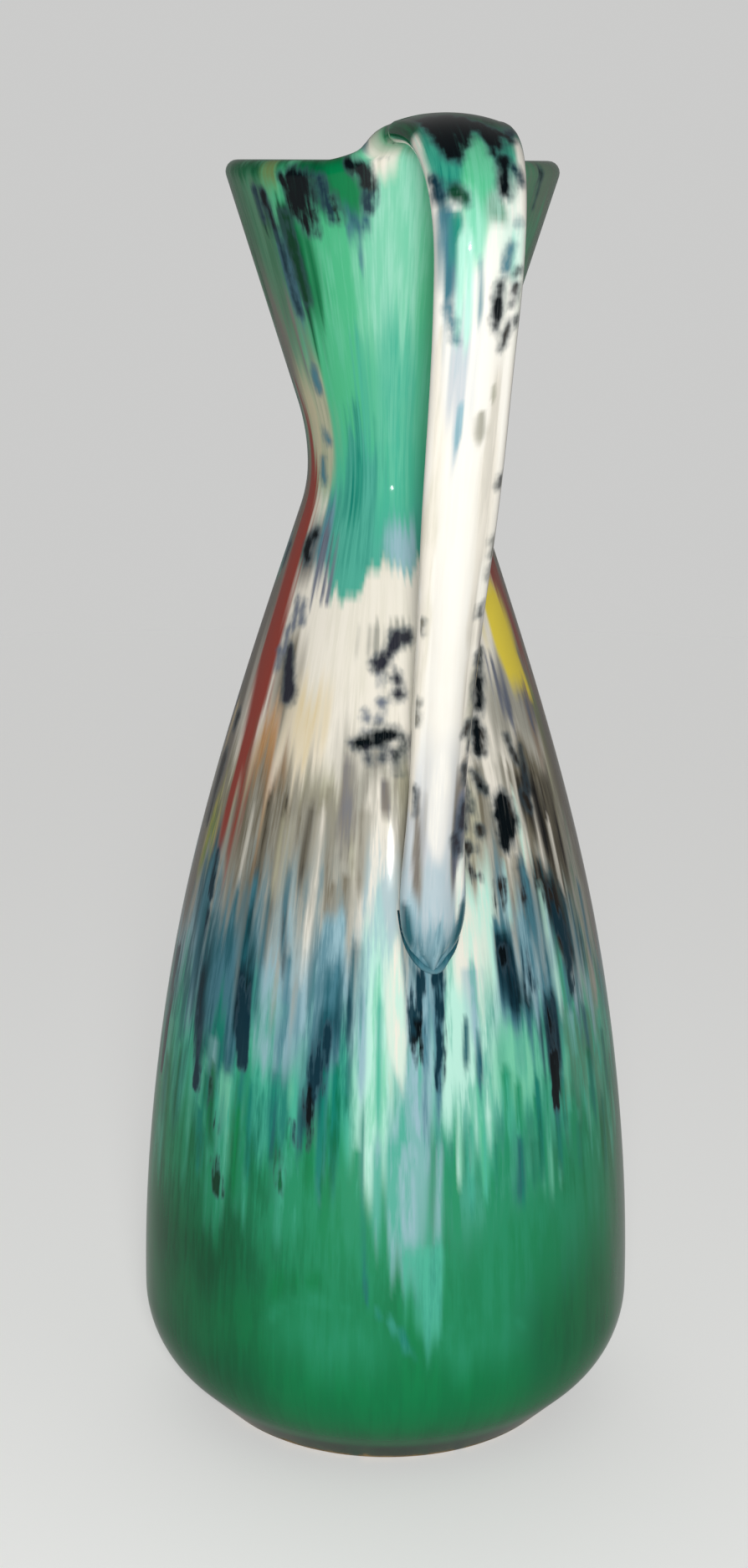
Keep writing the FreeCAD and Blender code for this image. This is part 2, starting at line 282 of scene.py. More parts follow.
class Outline:
    """Side view of the wall as (radius, height) points, and the line of the flare."""

    def __init__(self, sizes):
        self.sizes = sizes
        self.waist_height = sizes.rim_height - sizes.flare_height
        self.upper = (sizes.waist_radius + sizes.upper_curve, self.waist_height)
        self.lower = (sizes.waist_radius + sizes.lower_curve, self.waist_height)
        away = np.array((sizes.rim_radius, sizes.rim_height)) - self.upper
        touch = math.asin(sizes.upper_curve / np.hypot(*away))
        self.flare = touch - math.atan2(-away[0], away[1])
        self.along = np.array((math.sin(self.flare), math.cos(self.flare)))
        self.across = np.array((math.cos(self.flare), -math.sin(self.flare)))
        corner = np.array((sizes.rim_radius, sizes.rim_height)) - self.across * sizes.wall / 2
        self.lip = corner - self.along * (sizes.wall / 2 + corner[1] - sizes.rim_height) / self.along[1]
        # from the foot's edge the skirt rises at 45 degrees, up to where the hip's curve begins
        half = math.sqrt(0.5)
        self.hip_height = sizes.hip_radius - sizes.foot_radius - sizes.hip_curve * (1 - 2 * half)
        self.hip = (sizes.hip_radius - sizes.hip_curve, self.hip_height)

    def flank(self, offset, steps):
        """From the hip up to the waist."""
        lean = math.radians(180 + SHOULDER_LEAN)
        top_r = self.lower[0] + self.sizes.lower_curve * math.cos(lean)
        top_z = self.lower[1] + self.sizes.lower_curve * math.sin(lean)
        depth, swell = np.array(FLANK).T
        z = np.linspace(self.hip_height, top_z, steps + 1)
        slope = math.tan(math.radians(SHOULDER_LEAN))
        knots = -(top_z - depth * (top_z - self.hip_height))
        radii = top_r + swell * (self.sizes.hip_radius - top_r)
        r = smooth_line(knots, radii, -z, slope, 0.0)
        tangent = np.gradient(r, z)
        square = np.column_stack((np.ones_like(r), -tangent)) / np.sqrt(1 + tangent ** 2)[:, None]
        return np.column_stack((r, z)) + square * offset

    def radius(self, height):
        """Outer radius of the belly at a height."""
        line = self.flank(0.0, FLANK_STEPS)
        return np.interp(height, line[:, 1], line[:, 0])

    def wall(self, offset, rows):
        """The wall's face from the underside of the hip up to the tongue's root."""
        sizes = self.sizes
        hip_rows, flank_rows, lower_rows, upper_rows, flare_rows = rows
        lean = math.degrees(self.flare)
        root = self.lip - self.along * self.root_depth() + self.across * (sizes.wall / 2 + offset)
        upper = arc(self.upper, sizes.upper_curve - offset, 180, 180 - lean, upper_rows)
        return np.vstack((
            arc(self.hip, sizes.hip_curve + offset, -45, 0, hip_rows)[:-1],
            self.flank(offset, flank_rows)[:-1],
            arc(self.lower, sizes.lower_curve - offset, 180 + SHOULDER_LEAN, 180, lower_rows)[:-1],
            upper[:-1],
            straight(upper[-1], root, flare_rows),
        ))

    def root_depth(self):
        """From the middle of the rounded lip down the wall to the tongue's root."""
        return (self.sizes.tongue_root - self.sizes.wall / 2) / self.along[1]


def body_profile(outline):
    """Outside from the foot up, over the lip, down the inside, and the hollow under the foot."""
    sizes = outline.sizes
    thick = sizes.wall / 2
    lean = math.degrees(outline.flare)
    outer = outline.wall(0.0, OUTER_ROWS)
    inner = outline.wall(-sizes.wall, INNER_ROWS)[::-1]
    up = straight(outer[-1], outline.lip + outline.across * thick, ROOT_ROWS)
    down = straight(outline.lip - outline.across * thick, inner[0], ROOT_ROWS)
    lip = arc(outline.lip, thick, -lean, 180 - lean, LIP_ROWS)
    hollow = (sizes.foot_radius - HOLLOW[0] * MM, HOLLOW[1] * MM)
    under = straight((0.0, hollow[1]), hollow, HOLLOW_ROWS)
    ring = np.array([(sizes.foot_radius - inwards * MM, height * MM) for inwards, height in FOOT_RING])
    skirt = straight((sizes.foot_radius + FOOT_CHAMFER * MM, FOOT_CHAMFER * MM), outer[0], SKIRT_ROWS)
    floor_edge = inner[-1] - (inner[-1][1] - sizes.floor)
    cut = BOWL_TURN * MM / 10
    bowl = smooth_route((
        inner[-1],
        mix(inner[-1], floor_edge, 0.65) + (-cut, cut),
        floor_edge - (BOWL_TURN * MM, 0.0),
        (floor_edge[0] * 0.5, sizes.floor),
        (0.0, sizes.floor),
    ), BOWL_SPACING * MM)
    return np.vstack((under, ring, skirt, outer[1:], up[1:], lip[1:], down[1:], inner[1:], bowl[1:]))


# ------------------------------------------------------------------- the tongue
# edge of the tongue as it leaves the lip: distance from its middle, run up from its root
TONGUE_EDGE = (
    (16.5, 5.52), (14.3, 5.56), (12.3, 6.05), (10.4, 6.75), (8.9, 7.7), (7.85, 9.2), (7.2, 11.0),
    (6.6, 13.0), (6.2, 15.0), (6.2, 17.0), (6.4, 19.0), (6.65, 20.8), (6.8, 22.4),
)
EDGE_SPACING = 0.2             # mm between the points that this edge is followed by
TONGUE_CROWN = 1.8             # mm that the middle stands above the edges as the tongue turns level
STRAP_CROWN = 1.1              # and from the joint on
CROWN_FADE = 7.0               # mm in which the one becomes the other
BOW_LEFT = 0.92                # share of the rise up to which the tongue is bowed like the wall
BOW_FADE = 5.0                 # mm in which it flattens from there
CORNER_AZIMUTH = 9.0           # degrees; columns nearer than this end on the joint
PULL_GROWTH = 1.5              # power by which the pull grows from the root up to the edge


class Tongue:
    """Middle surface of the tongue: up the flared wall, over a bend, and level to the joint."""

    def __init__(self, outline):
        sizes = outline.sizes
        self.sizes = sizes
        self.outline = outline
        self.lean = outline.flare
        self.root = outline.lip - outline.along * outline.root_depth()
        self.top = VASE_HEIGHT - sizes.tongue_thickness / 2
        centre_z = self.top - sizes.tongue_bend
        rise = centre_z + sizes.tongue_bend * math.sin(self.lean) - self.root[1]
        self.bend_run = rise / outline.along[1]
        bend_r = self.root[0] + outline.along[0] * self.bend_run
        self.bend_centre = np.array((bend_r + sizes.tongue_bend * math.cos(self.lean), centre_z))
        self.level_run = self.bend_run + sizes.tongue_bend * (math.pi / 2 - self.lean)
        self.joint_reach = sizes.rim_radius + sizes.joint_overhang
        self.joint_run = self.level_run + self.joint_reach - self.bend_centre[0]
        edge = np.array(TONGUE_EDGE) * MM
        edge[:, 1] *= self.joint_run / edge[-1, 1]
        self.edge = smooth_route(edge, EDGE_SPACING * MM)
        self.edge_run = passed(self.edge)
        self.reach = math.asin(self.edge[0, 0] / outline.lip[0])

    def centre(self, run):
        """Reach and height of the middle line at a run, and its slope angle off upright."""
        run = np.asarray(run, float)
        turn = np.clip((run - self.bend_run) / self.sizes.tongue_bend + self.lean, self.lean, math.pi / 2)
        wall = self.root + self.outline.along * np.minimum(run, self.bend_run)[..., None]
        bend = self.bend_centre + self.sizes.tongue_bend * np.stack((-np.cos(turn), np.sin(turn)), -1)
        middle = np.where((run < self.bend_run)[..., None], wall, bend)
        middle[..., 0] += np.maximum(run - self.level_run, 0)
        return middle, turn

    def over(self, run):
        """0 on the wall, 1 once the tongue is level."""
        return ease((run - self.bend_run) / (self.level_run - self.bend_run))

    def ring(self, run):
        """Radius of the wall's middle at a run, up to the bend."""
        return self.root[0] + self.outline.along[0] * np.minimum(run, self.bend_run)

    def sag(self, across, run):
        """How far the middle surface lies below the middle line, for the crown."""
        crown = mix(TONGUE_CROWN, STRAP_CROWN, ease((run - self.level_run) / (CROWN_FADE * MM)))
        return crown * MM / 2 * (across / self.edge[-1, 0]) ** 2

    def point(self, across, run):
        """Place on the middle surface."""
        middle, turn = self.centre(run)
        ring = self.ring(run)
        bow = ring - np.sqrt(np.maximum(ring ** 2 - across ** 2, 0))
        bow = bow * (1 - ease((run - self.bend_run * BOW_LEFT) / (BOW_FADE * MM)))
        sag = self.sag(across, run) * self.over(run)
        reach = bow - middle[..., 0] - np.cos(turn) * sag
        return np.stack((across, reach, middle[..., 1] - np.sin(turn) * sag), -1)

    def half_thickness(self, across, run):
        full = self.sizes.tongue_thickness / 2 - self.sag(across, run)
        return mix(self.sizes.wall / 2, full, self.over(run))

    def pull(self, azimuth, up, out):
        """Where points of the wall go, and how far across and along the tongue.

        They are given by azimuth, and by how far up and out they are from the middle of the lip.
        """
        sizes = self.sizes
        side = np.sign(azimuth)
        angle = np.abs(azimuth)
        lip_run = self.outline.root_depth()
        corner = math.radians(CORNER_AZIMUTH)
        share = np.clip((self.reach - angle) / (self.reach - corner), 0, 1)
        edge_at = share * self.edge_run[-1]
        rim_across = np.interp(edge_at, self.edge_run, self.edge[:, 0])
        rim_run = np.interp(edge_at, self.edge_run, self.edge[:, 1])
        ends = angle < corner
        rim_across = np.where(ends, self.edge[-1, 0] * angle / corner, rim_across)
        step = EDGE_SPACING * MM / 4
        heading = unit(np.stack([
            np.interp(edge_at + step, self.edge_run, way) - np.interp(edge_at - step, self.edge_run, way)
            for way in self.edge.T
        ], -1))
        outward = np.stack((heading[..., 1], -heading[..., 0]), -1)
        outward[ends] = 0
        climb = np.clip(1 + up / lip_run, 0, 1)
        pull = climb ** PULL_GROWTH
        run = lip_run * climb + (rim_run - lip_run) * pull
        across = mix(self.ring(run) * np.sin(angle), rim_across, pull)
        tiny = EDGE_SPACING * MM / 20
        middle = self.point(across, run)
        by_across = unit(self.point(across + tiny, run) - self.point(across - tiny, run))
        by_run = unit(self.point(across, run + tiny) - self.point(across, run - tiny))
        square = unit(np.cross(by_across, by_run))
        half = self.half_thickness(across, run)[..., None]
        lip = np.maximum(up, 0)[..., None] / (sizes.wall / 2)
        away = by_across * outward[..., :1] + by_run * outward[..., 1:]
        middle += square * half * (out / (sizes.wall / 2))[..., None] + away * half * lip
        middle[..., 0] *= side
        return middle, across * side, run


# ------------------------------------------------------------------- the strap
STRAP_SPACING = 0.75           # mm between the strap's rings
# from joint to knee, and from knee to ankle: share outwards or inwards, share down, width share
SHOULDER = ((0.346, 0.034, 0.16), (0.673, 0.190, 0.42), (0.888, 0.486, 0.72))
SHANK = (
    (0.026, 0.083, 0.12), (0.105, 0.169, 0.24), (0.298, 0.348, 0.36), (0.465, 0.483, 0.50),
    (0.658, 0.640, 0.79), (0.846, 0.809, 0.95),
)
SHANK_CROWN, ANKLE_CROWN = 1.5, 1.6     # mm
# on the belly: share of the toe down, width share, stand-off and thickness in thicknesses, crown in mm
TOE = (
    (0, 0.96, 0.36, 0.95, 1.5), (0.42, 0.78, 0.08, 0.85, 1.2), (0.70, 0.54, -0.08, 0.72, 0.9),
    (0.90, 0.28, -0.10, 0.50, 0.5), (1.04, 0.12, -0.30, 0.22, 0.1),
)


def strap_stations(outline):
    """Reach, height, width, thickness and crown of the strap from the joint to the tip of its toe."""
    sizes = outline.sizes
    joint = (sizes.rim_radius + sizes.joint_overhang + sizes.seam, VASE_HEIGHT - sizes.tongue_thickness / 2)
    knee = (sizes.rim_radius + sizes.strap_overhang, VASE_HEIGHT - sizes.knee_drop)
    thick = sizes.strap_thickness
    crown = STRAP_CROWN * MM
    ankle_out = outline.radius(sizes.ankle_height) + sizes.ankle_gap + thick / 2
    rows = [(*joint, sizes.tongue_width, sizes.tongue_thickness, crown)]
    for out, down, slim in SHOULDER:
        rows.append((
            mix(joint[0], knee[0], out), mix(joint[1], knee[1], down),
            mix(sizes.tongue_width, sizes.knee_width, slim), mix(sizes.tongue_thickness, thick, slim), crown,
        ))
    rows.append((*knee, sizes.knee_width, thick, crown))
    for inwards, down, slim in SHANK:
        rows.append((
            mix(knee[0], ankle_out, inwards), mix(knee[1], sizes.ankle_height, down),
            mix(sizes.knee_width, sizes.ankle_width, slim), thick, mix(crown, SHANK_CROWN * MM, slim),
        ))
    rows.append((ankle_out, sizes.ankle_height, sizes.ankle_width, thick, ANKLE_CROWN * MM))
    land, wide = sizes.landing_height, sizes.landing_width
    near = (mix(sizes.ankle_height, land, 0.55), mix(sizes.ankle_width, wide, 0.9), 0.86, 1.0, ANKLE_CROWN)
    toe = [(land - sizes.toe_length * down, wide * slim, *rest) for down, slim, *rest in TOE]
    for height, width, off, share, crown in (near, *toe):
        rows.append((outline.radius(height) + off * thick, height, width, share * thick, crown * MM))
    return rows


# points of the strap's section on its face, each edge and its back
SECTION_TOP, SECTION_EDGE, SECTION_UNDER = 24, 10, 20
SECTION_POINTS = SECTION_TOP + 2 * SECTION_EDGE + SECTION_UNDER
MOST_CROWN = 0.6               # share of the thickness that the crown may take
LEAST_FLAT = 0.08              # share of the width that is left between the round edges
THINNEST = 0.4                 # mm, at the tip of the toe


def section(width, thickness, crown):
    """Closed outline of a strap as (across, outwards) points, its face crowned and its edges round."""
    crown = min(crown, thickness * MOST_CROWN)
    edge = (thickness - crown) / 2
    flat = max(width / 2 - edge, width * LEAST_FLAT)
    edge_out = width / 2 - flat
    top = np.linspace(-flat, flat, SECTION_TOP, endpoint=False)
    face = np.column_stack((top, thickness / 2 - crown * (top / flat) ** 2))
    turn = np.linspace(math.pi / 2, -math.pi / 2, SECTION_EDGE, endpoint=False)
    right = np.column_stack((flat + edge_out * np.cos(turn), -crown / 2 + edge * np.sin(turn)))
    back = np.linspace(flat, -flat, SECTION_UNDER, endpoint=False)
    under = np.column_stack((back, np.full_like(back, -thickness / 2)))
    left = np.column_stack((-flat - edge_out * np.cos(-turn), -crown / 2 - edge * np.sin(turn)))
    return np.vstack((face, right, under, left))


def strap_rings(outline):
    """Rings of the strap in place, each ring's run from the joint, and the stations they follow."""
    route = smooth_route(strap_stations(outline), STRAP_SPACING * MM)
    run = passed(route[:, :2])
    slope = np.gradient(route[:, :2], run, axis=0)
    slope[0] = (1, 0)
    rings = []
    for (reach, height, width, thickness, crown), (out, up) in zip(route, slope):
        size = math.hypot(out, up)
        across, face = section(width, max(thickness, THINNEST * MM), crown).T
        rings.append(np.column_stack((across, -reach + face * up / size, height + face * out / size)))
    return np.array(rings), run, route


BEAD_SIDES = 12
BEAD_SPACING = 0.7             # mm between its rings
BEAD_RISE = 3.0                # mm that its ends stand above the landing
BEAD_INSET = 0.97              # share of the strap's half width at which it lies
BEAD_ENDS = (0.3, 12)          # share of its thickness at its ends, and rings in which it is full


def bead_rings(outline):
    """Rings of the slip bead: down one side of the strap's toe on the belly, round its tip and back up."""
    sizes = outline.sizes
    route = strap_rings(outline)[-1]
    low = route[route[:, 1] < sizes.landing_height + BEAD_RISE * MM]
    side = np.column_stack((low[:, 2] / 2 * BEAD_INSET, low[:, 1]))[:-1]
    line = smooth_route(np.vstack((side, side[::-1] * (-1, 1)))[::2], BEAD_SPACING * MM)
    reach = np.sqrt(outline.radius(line[:, 1]) ** 2 - line[:, 0] ** 2)
    middle = np.column_stack((line[:, 0], -reach, line[:, 1]))
    ahead = unit(np.gradient(middle, axis=0))
    away = unit(middle * (1, 1, 0))
    beside = np.cross(ahead, away)
    from_end = np.minimum(np.arange(len(line)), np.arange(len(line))[::-1])
    end_share, end_rings = BEAD_ENDS
    half_thick = sizes.bead * mix(end_share, 1, ease(from_end / end_rings))
    turn = np.linspace(0, 2 * math.pi, BEAD_SIDES, endpoint=False)
    return [
        m + r * (np.cos(turn)[:, None] * b + np.sin(turn)[:, None] * a)
        for m, r, b, a in zip(middle, half_thick, beside, away)
    ]


# ------------------------------------------------------------------- the glazes
# Places on the body are an azimuth in degrees, 0 under the handle and growing towards +X, and a
# height in mm.  Places on the strap are mm across it and mm along it from the joint.

# coats under everything else, from the foot up: height, thin glaze, pooled glaze, streakiness
BODY_COATS = (
    (0, "moss", "bottle", 0.2), (12, "fern", "moss", 0.25), (30, "fern", "moss", 0.4),
    (46, "jade", "moss", 0.6), (57, "jade", "moss", 0.8), (66, "sea", "teal", 0.8),
    (75, "sea", "petrol", 0.8), (84, "mist", "petrol", 0.8), (94, "stone", "slate", 0.75),
    (104, "stone", "taupe", 0.75), (114, "buff", "taupe", 0.7), (121, "cream", "taupe", 0.45),
    (127, "cream", "buff", 0.3), (134, "cream", "buff", 0.2), (149, "cream", "buff", 0.15),
    (151, "lagoon", "teal", 0.4), (158, "sea", "lagoon", 0.4), (172, "leaf", "sea", 0.4),
    (190, "leaf", "mint", 0.4), (220, "leaf", "mint", 0.4),
)
# inside the mouth: green glaze that grows darker deeper down, as painted shade in the hollow
INNER_GLAZE_AND_SHADE = (
    (5, "bottle", "moss", 0.3), (120, "moss", "bottle", 0.3), (180, "fern", "moss", 0.5),
    (198, "sea", "leaf", 0.5), (209, "leaf", "mint", 0.5), (216, "leaf", "mint", 0.5),
)
STRAP_COATS = (
    (-14, "leaf", "mint", 0.5), (-6, "moss", "leaf", 0.6), (2, "bottle", "moss", 0.8),
    (10, "bottle", "moss", 0.8), (18, "sea", "teal", 0.6), (24, "white", "frost", 0.5),
    (48, "white", "cream", 0.3), (104, "white", "cream", 0.3), (118, "pearl", "white", 0.3),
    (130, "pearl", "mist", 0.5), (137, "mist", "pearl", 0.6), (143, "slate", "mist", 0.6),
    (149, "slate", "petrol", 0.6),
)

# soft patches in the order they are laid: thin glaze, pooled glaze, place, half width in degrees,
# half height, softness in mm
BODY_PATCHES = (
    # neck
    ("sage", "moss", -84, 204, 13, 15, 5), ("mauve", "sage", -84, 183, 15, 14, 6),
    ("sage", "moss", -66, 199, 7, 14, 4), ("buff", "sand", -69, 171, 11, 9, 5),
    ("buff", "sage", -58, 171, 5, 11, 4), ("mauve", "slate", -63, 186, 4, 7, 3),
    ("mint", "frost", -12, 203, 12, 20, 5), ("sea", "mint", -9, 174, 13, 15, 6),
    ("fern", "moss", -49, 199, 5, 8, 4), ("moss", "bottle", -52.6, 193, 3.6, 12, 3),
    ("leaf", "fern", -34, 206, 8, 5, 3), ("moss", "bottle", -35, 211, 10, 4.5, 2),
    ("moss", "bottle", -66, 212.5, 20, 1.6, 1.5), ("olive", "leaf", -57, 211.5, 4, 3, 2),
    ("fern", "moss", -27.5, 209.5, 5, 4, 2), ("petrol", "slate", -24, 205.6, 6, 1.4, 1.6),
    ("cream", "buff", -15.4, 213.5, 4.4, 4.6, 1.8), ("cream", "buff", -12.5, 218, 6, 2.4, 1.6),
    ("sage", "olive", -6, 216.5, 3, 2, 1.6),
    ("sage", "mauve", 56, 206, 22, 12, 5), ("sage", "leaf", 55, 199, 6, 6, 3),
    # shoulder
    ("mist", "lagoon", -8, 153, 8, 3, 2), ("mist", "lagoon", -3, 154, 5, 3, 2.5),
    ("cream", "buff", -67, 158, 7, 4, 2), ("mauve", "slate", -62, 152, 6, 5, 3),
    ("slate", "mist", -52, 154, 6, 5.5, 3), ("lagoon", "teal", -33, 158, 13, 13.4, 1),
    ("mauve", "taupe", -91, 130, 10, 42, 4), ("olive", "yellow", -82, 105, 4, 6, 3),
    ("taupe", "mauve", -57, 131, 5, 7, 4), ("sand", "cream", -43, 126, 8, 6, 4),
    ("peach", "sand", -60, 119, 7, 6, 4), ("peach", "taupe", -54, 114, 8, 5, 4),
    # belly
    ("taupe", "stone", -50, 107, 17, 10, 6), ("cream", "stone", -28, 121, 6, 7, 4),
    ("stone", "mauve", -20, 117, 9, 6, 4), ("cream", "stone", -15, 108, 5, 7, 3),
    ("cream", "mist", -14.5, 97, 5, 8, 4),
    ("slate", "navy", -75, 95, 4, 9, 3), ("stone", "slate", -38, 95, 12, 8, 5),
    ("cream", "stone", 30, 121, 12, 14, 4), ("stone", "mauve", 44, 128, 15, 7, 4),
    ("mauve", "peach", 66, 135, 15, 20, 4), ("brick", "mauve", 57, 150, 8, 4, 3),
    ("yellow", "yellow", 47.5, 139, 10, 8.5, 2.4), ("olive", "mauve", 61, 120, 3, 8, 3),
    ("taupe", "umber", 45, 110, 10, 11, 3), ("mauve", "taupe", 67, 104, 8, 24, 4),
    ("frost", "cream", 14, 95, 6, 10, 3), ("slate", "mist", 30, 96, 4, 7, 3),
    # underneath the drips
    ("mist", "stone", -39, 88, 5, 9, 5), ("slate", "petrol", -60, 86, 7, 10, 4),
    ("teal", "petrol", -58, 72, 7, 7, 4), ("sea", "teal", -42, 70, 8, 8, 5),
    ("frost", "mist", -14.5, 84, 4.5, 9, 4), ("frost", "mint", -14.5, 68, 4.5, 14, 4),
    ("mist", "lagoon", -5.5, 62, 5, 19, 3), ("frost", "lagoon", 9, 78, 9, 15, 4),
    ("cream", "frost", -10.4, 87, 3, 9, 2), ("cream", "frost", 10, 91, 4, 8, 3),
    ("mint", "sea", 22, 71, 7, 7, 5),
    ("sea", "sage", 47, 70, 14, 10, 6), ("stone", "sage", 57, 88, 8, 12, 5),
    # foot
    ("jade", "lagoon", 16, 51, 14, 8, 9), ("jade", "fern", 30, 38, 26, 13, 12),
    ("jade", "fern", -20, 46, 14, 8, 9), ("jade", "fern", -24, 28, 13, 5, 6),
    ("jade", "fern", 10, 27, 10, 4, 5),
    ("moss", "bottle", -64, 36, 22, 9, 10), ("moss", "bottle", -66, 16, 26, 9, 10),
    ("moss", "fern", 42, 24, 20, 12, 12), ("sage", "moss", 70, 30, 14, 30, 10),
)
STRAP_PATCHES = (
    ("cream", "frost", -7.6, 18, 0.8, 6, 1.2), ("sea", "teal", -5.4, 14, 1.3, 8, 1.2),
    ("teal", "sea", -3.8, 21.4, 2.6, 3.4, 1.4), ("white", "cream", -6.6, 27, 0.5, 5, 0.6),
    ("leaf", "mint", 0, 21, 2.3, 5.0, 1.0), ("leaf", "mint", -1.4, 25.5, 2.0, 4, 1.4),
    ("mint", "frost", -1.6, 28, 1.6, 4, 1.4), ("frost", "white", 4.6, 30, 1.6, 4, 1.5),
    ("cream", "buff", -4.6, 62, 1.0, 22, 1.2), ("cream", "stone", 3.2, 70, 1.4, 22, 1.8),
    ("cream", "buff", -4.2, 100, 0.9, 20, 1.2), ("cream", "stone", 3.4, 110, 1.1, 18, 1.6),
    ("sage", "frost", 1.9, 25.6, 1.6, 2, 1), ("white", "cream", 6.4, 21, 1.2, 6, 1),
    ("white", "buff", 4, 80, 0.8, 5, 1.2), ("stone", "buff", 4.4, 101, 0.9, 8, 1.2),
    ("white", "pearl", -0.4, 118, 1.3, 10, 2.0), ("white", "frost", 3.7, 133, 0.6, 5, 0.8),
)

